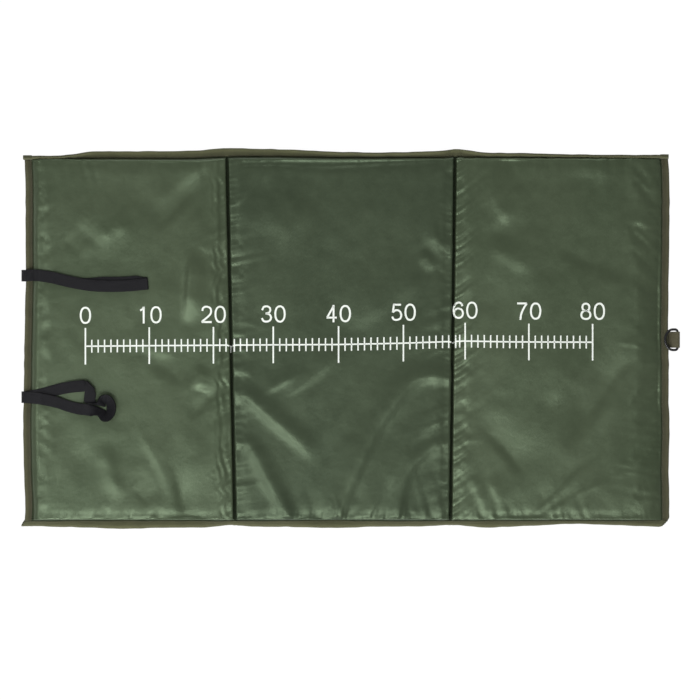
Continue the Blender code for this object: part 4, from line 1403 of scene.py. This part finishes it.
# digits as centre lines, in units of their height
digitStrokes = {
    "1": [((-0.13, 0.75), (0.0, 0.83), (0.065, 0.95)), ((0.07, 0.97), (0.07, 0.0))],
    "2": [((-0.25, 0.70), (-0.2, 0.87), (-0.02, 0.941), (0.19, 0.87), (0.255, 0.69), (0.2, 0.5),
           (0, 0.3), (-0.2, 0.14), (-0.27, 0.059)), ((-0.29, 0.059), (0.29, 0.059))],
    "3": [((-0.25, 0.72), (-0.17, 0.89), (0, 0.941), (0.17, 0.88), (0.22, 0.73), (0.15, 0.58),
           (-0.05, 0.53)),
          ((-0.05, 0.53), (0.17, 0.47), (0.265, 0.29), (0.18, 0.12), (0, 0.059), (-0.17, 0.10),
           (-0.265, 0.26))],
    "4": [((0.10, 0.93), (-0.26, 0.29)), ((-0.30, 0.27), (0.29, 0.27)), ((0.10, 1.0), (0.10, 0))],
    "5": [((-0.18, 0.935), (0.25, 0.935)), ((-0.155, 0.96), (-0.22, 0.49)),
          ((-0.22, 0.50), (-0.1, 0.6), (0.05, 0.62), (0.2, 0.53), (0.265, 0.33), (0.2, 0.14),
           (0, 0.059), (-0.17, 0.10), (-0.265, 0.25))],
    "6": [((0.24, 0.74), (0.16, 0.89), (0.02, 0.941), (-0.15, 0.87), (-0.25, 0.66),
           (-0.265, 0.42), (-0.22, 0.2), (-0.11, 0.09), (0.02, 0.059), (0.18, 0.12),
           (0.262, 0.31), (0.19, 0.52), (0.02, 0.60), (-0.15, 0.54), (-0.25, 0.38))],
    "7": [((-0.29, 0.94), (0.27, 0.94)), ((0.27, 0.94), (0.09, 0.66), (-0.05, 0.33), (-0.10, 0))],
}
digitRounds = {"0": [((0, 0.5), (0.271, 0.441))],
               "8": [((0, 0.735), (0.20, 0.206)), ((0, 0.295), (0.26, 0.236))]}


def roundPath(centre, size):
    # a digit's closed round, a little squarer than an ellipse
    angles = np.radians(np.linspace(90, 450, 41))
    c, s = np.cos(angles), np.sin(angles)
    return np.stack([centre[0] + size[0] * np.sign(c) * np.abs(c) ** 0.86,
                     centre[1] + size[1] * np.sign(s) * np.abs(s) ** 0.94], 1)


leftSeam, rightSeam = lineX("leftFold", -0.01), lineX("rightFold", -0.004)


def lineY(x):
    # the ruler's line, which dips where it goes down into a seam
    x = np.atleast_1d(x)
    deep, wide = ruler["dip"]
    dips = sum(np.exp(-((x - seam) / wide) ** 2) for seam in (leftSeam, rightSeam))
    return softTable(ruler["line"], x) - deep * dips


def drapedStroke(surface, path, width, closed=False, step=ruler["step"]):
    # a printed line lying on the cloth
    path = evenly(path, step)
    ahead = aheadOf(np.c_[path, 0 * path[:, 0]])[:, :2]
    if closed:
        ahead[0] = ahead[-1] = (ahead[0] + ahead[-1]) / 2
    side = np.stack([-ahead[:, 1], ahead[:, 0]], 1)
    cells = max(2, int(round(width / ruler["cell"])))
    spots = np.linspace(-0.5, 0.5, cells + 1) * width
    rows = np.zeros((len(path), cells + 1, 3))
    for i, (p, s) in enumerate(zip(path, side)):
        for j, spot in enumerate(spots):
            x, y = p + s * spot
            hit, normal = below(surface, x, y)
            rows[i, j] = (x, y, 0.02) if hit is None else tuple(hit + normal * ruler["lift"])
    return flatStrip("stroke", rows[:, ::-1])


def drapedLine(surface, x, **values):
    return drapedStroke(surface, np.stack([x, lineY(x)], 1), ruler["lineWidth"], **values)


def drapedTick(surface, at, length, width):
    y = float(lineY(at)[0])
    return drapedStroke(surface, [(at, y - length / 2), (at, y + length / 2)], width)


def digitPaths(text, centre, base):
    high = ruler["digitHeight"]
    start = centre - (len(text) - 1) / 2 * ruler["advance"] * high
    for k, digit in enumerate(text):
        origin = np.array([start + k * ruler["advance"] * high, base])
        for stroke in digitStrokes.get(digit, ()):
            keys = np.array(stroke) * high
            yield origin + (smoothPath(keys, 6) if len(keys) > 2 else keys), False
        for middle, size in digitRounds.get(digit, ()):
            yield origin + roundPath(middle, size) * high, True


def printOn(side, low, high):
    # every printed line between two places along the mat
    surface, majors, margin = surfaceOf([side + "Panel"]), ruler["majors"], ruler["margin"]
    lineLow, lineHigh = max(low, majors[0]), min(high, majors[-1])
    parts = [drapedLine(surface, np.append(np.arange(lineLow, lineHigh, 0.002), lineHigh))]
    for number, at in enumerate(majors):
        if low < at < high:
            parts.append(drapedTick(surface, at, ruler["majorLength"], ruler["majorWidth"]))
            base = float(lineY(at)[0]) + ruler["digitLift"]
            for path, closed in digitPaths(str(10 * number), at, base):
                parts.append(drapedStroke(surface, path, ruler["stroke"] * ruler["digitHeight"],
                                          closed))
        if number + 1 < len(majors):
            for share in ruler["ticks"].get(number, [k / 10 for k in range(1, 10)]):
                tick = at + (majors[number + 1] - at) * share
                if low + margin < tick < high - margin:
                    parts.append(drapedTick(surface, tick, ruler["minorLength"],
                                            ruler["tickWidth"]))
    piece = inked("ruler" + side.title(), parts)
    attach(piece, side + "_panel")
    pressFlat(piece, side)


def inked(name, parts):
    piece = joinPieces(name, parts)
    piece.data.materials.append(rulerInk)
    smooth(piece)
    return piece


def printAcross(side, seam):
    # the line where it crosses a seam, and a tick lost in the left one
    surface, reach = surfaceOf([side + "SeamStrip"]), seams["halfWidth"] * 0.94
    parts = [drapedLine(surface, np.linspace(seam - reach, seam + reach, 13), step=0.0004)]
    if side == "left":
        (shift, length, width), y = ruler["lostTick"], float(lineY(seam)[0])
        parts.append(drapedStroke(surface, [(seam + shift, y - length), (seam + shift, y)], width,
                                  step=0.0006))
    bendAcross(inked("rulerAcross" + side.title(), parts), side)


beside = ruler["beside"]
printOn("left", -0.5, leftSeam - beside)
printOn("middle", leftSeam + beside, rightSeam - beside)
printOn("right", rightSeam + beside, 0.5)
printAcross("left", leftSeam)
printAcross("right", rightSeam)
print("ruler printed")


# Stitches
def makeStitch():
    # one low stitch, modelled once and copied along every row
    deselectAll()
    bpy.ops.mesh.primitive_uv_sphere_add(segments=6, ring_count=4, radius=1)
    piece = bpy.context.object
    writePoints(piece, readPoints(piece) * tape["stitch"])
    points, faces = readPoints(piece), [tuple(p.vertices) for p in piece.data.polygons]
    bpy.data.objects.remove(piece)
    return points, faces


stitchPoints, stitchFaces = makeStitch()


def stitchRow(places, ahead, up):
    side = np.cross(ahead, up)
    stitch = stitchPoints @ np.stack([side, ahead, np.cross(side, ahead)])
    points = dress((places[:, None, :] + stitch[None]).reshape(-1, 3))
    faces = [tuple(n * len(stitch) + k for k in face)
             for n in range(len(places)) for face in stitchFaces]
    piece = meshPiece("row", points, faces)
    writeMap(piece, np.tile(stitchPoints[:, :2], (len(places), 1)))
    piece.data.materials.append(threadCloth)
    smooth(piece)
    return piece


def edgeStitches(name, row, low, high, body):
    # a row of stitches on top of the tape and one underneath
    count = int((high - low) / tape["stitchPitch"])
    at = low + (np.arange(count) + 0.5) * (high - low) / count
    inset = tape["stitchInset"] + tape["stitchWander"] * softLine(91, at, 0.015)
    ahead = (1.0, 0, 0) if row in ("front", "rear") else (0, 1.0, 0)
    parts = []
    for turn in (1, -1):
        height = level + turn * (tape["middle"] + tape["thickness"] / 2 + tape["stitchLift"])
        places = np.stack([*onEdge(row, at, inset), height + 0 * at], 1)
        parts.append(stitchRow(places, ahead, (0, 0, turn)))
    piece = joinPieces(name, parts)
    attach(piece, body)


for row in ("front", "rear"):
    for side, low, high in spansOf(row, -halfLength + tape["width"], halfLength - tape["width"]):
        edgeStitches(f"{row}{side.title()}Stitches", row, low, high, side + "_panel")
for side in ("left", "right"):
    edgeStitches(side + "EndStitches", side, -halfDepth + tape["width"], halfDepth - tape["width"],
                 side + "_panel")
print("stitches made")

# Floor, light and camera
studio = {
    "camera": (0.005, -0.016, 9.09), "lens": 300,
    # a low lamp in front, a long strip higher up that makes the cloth's gloss, a weak one behind
    "lamps": {
        "key": {"at": (-0.80, -3.00, 2.25), "size": (2.0, 1.6), "power": 58},
        "strip": {"at": (-0.40, -1.75, 3.60), "size": (2.5, 0.9), "power": 76},
        "side": {"at": (-2.40, -0.70, 3.0), "size": (1.2, 1.2), "power": 24},
        "rear": {"at": (0.0, 2.40, 1.25), "size": (2.0, 1.2), "power": 16},
    },
    "world": 0.275,
    "floor": {"size": 14, "height": -0.0002, "shade": 0.82, "glow": 1.04, "glowShare": 0.95},
}


def makeFloor():
    settings = studio["floor"]
    deselectAll()
    bpy.ops.mesh.primitive_plane_add(size=settings["size"], location=(0, 0, settings["height"]))
    floor = bpy.context.object
    floor.name = "floor"
    material, tree, shader = newMaterial("paleFloor")
    setInputs(shader, {"Base Color": (*[settings["shade"]] * 3, 1), "Roughness": 0.9})
    glow = tree.nodes.new("ShaderNodeEmission")
    glow.inputs["Strength"].default_value = settings["glow"]
    rays = tree.nodes.new("ShaderNodeLightPath").outputs
    seen = maths(tree, "MAXIMUM", rays["Is Camera Ray"],
                 maths(tree, "MAXIMUM", rays["Is Glossy Ray"], rays["Is Transmission Ray"]))
    mix = tree.nodes.new("ShaderNodeMixShader")
    tree.links.new(times(tree, seen, settings["glowShare"]), mix.inputs["Fac"])
    tree.links.new(shader.outputs[0], mix.inputs[1])
    tree.links.new(glow.outputs[0], mix.inputs[2])
    tree.links.new(mix.outputs[0], tree.nodes["Material Output"].inputs["Surface"])
    floor.data.materials.append(material)


def makeLamp(name, lamp):
    deselectAll()
    bpy.ops.object.light_add(type="AREA", location=lamp["at"])
    light = bpy.context.object
    light.name = name
    light.data.shape = "ELLIPSE"
    light.data.size, light.data.size_y = lamp["size"]
    light.data.energy = lamp["power"]
    light.rotation_euler = (-Vector(lamp["at"])).to_track_quat("-Z", "Y").to_euler()


makeFloor()
for name, lamp in studio["lamps"].items():
    makeLamp(name + "Light", lamp)
world = bpy.context.scene.world or bpy.data.worlds.new("studio")
bpy.context.scene.world = world
world.use_nodes = True
setInputs(world.node_tree.nodes["Background"],
          {"Color": (1, 1, 1, 1), "Strength": studio["world"]})

deselectAll()
bpy.ops.object.camera_add(location=studio["camera"], rotation=(0, 0, 0))
camera = bpy.context.object
camera.data.lens = studio["lens"]
camera.data.clip_end = 50
bpy.context.scene.camera = camera
bpy.context.scene.view_settings.view_transform = "Standard"
print("studio ready")
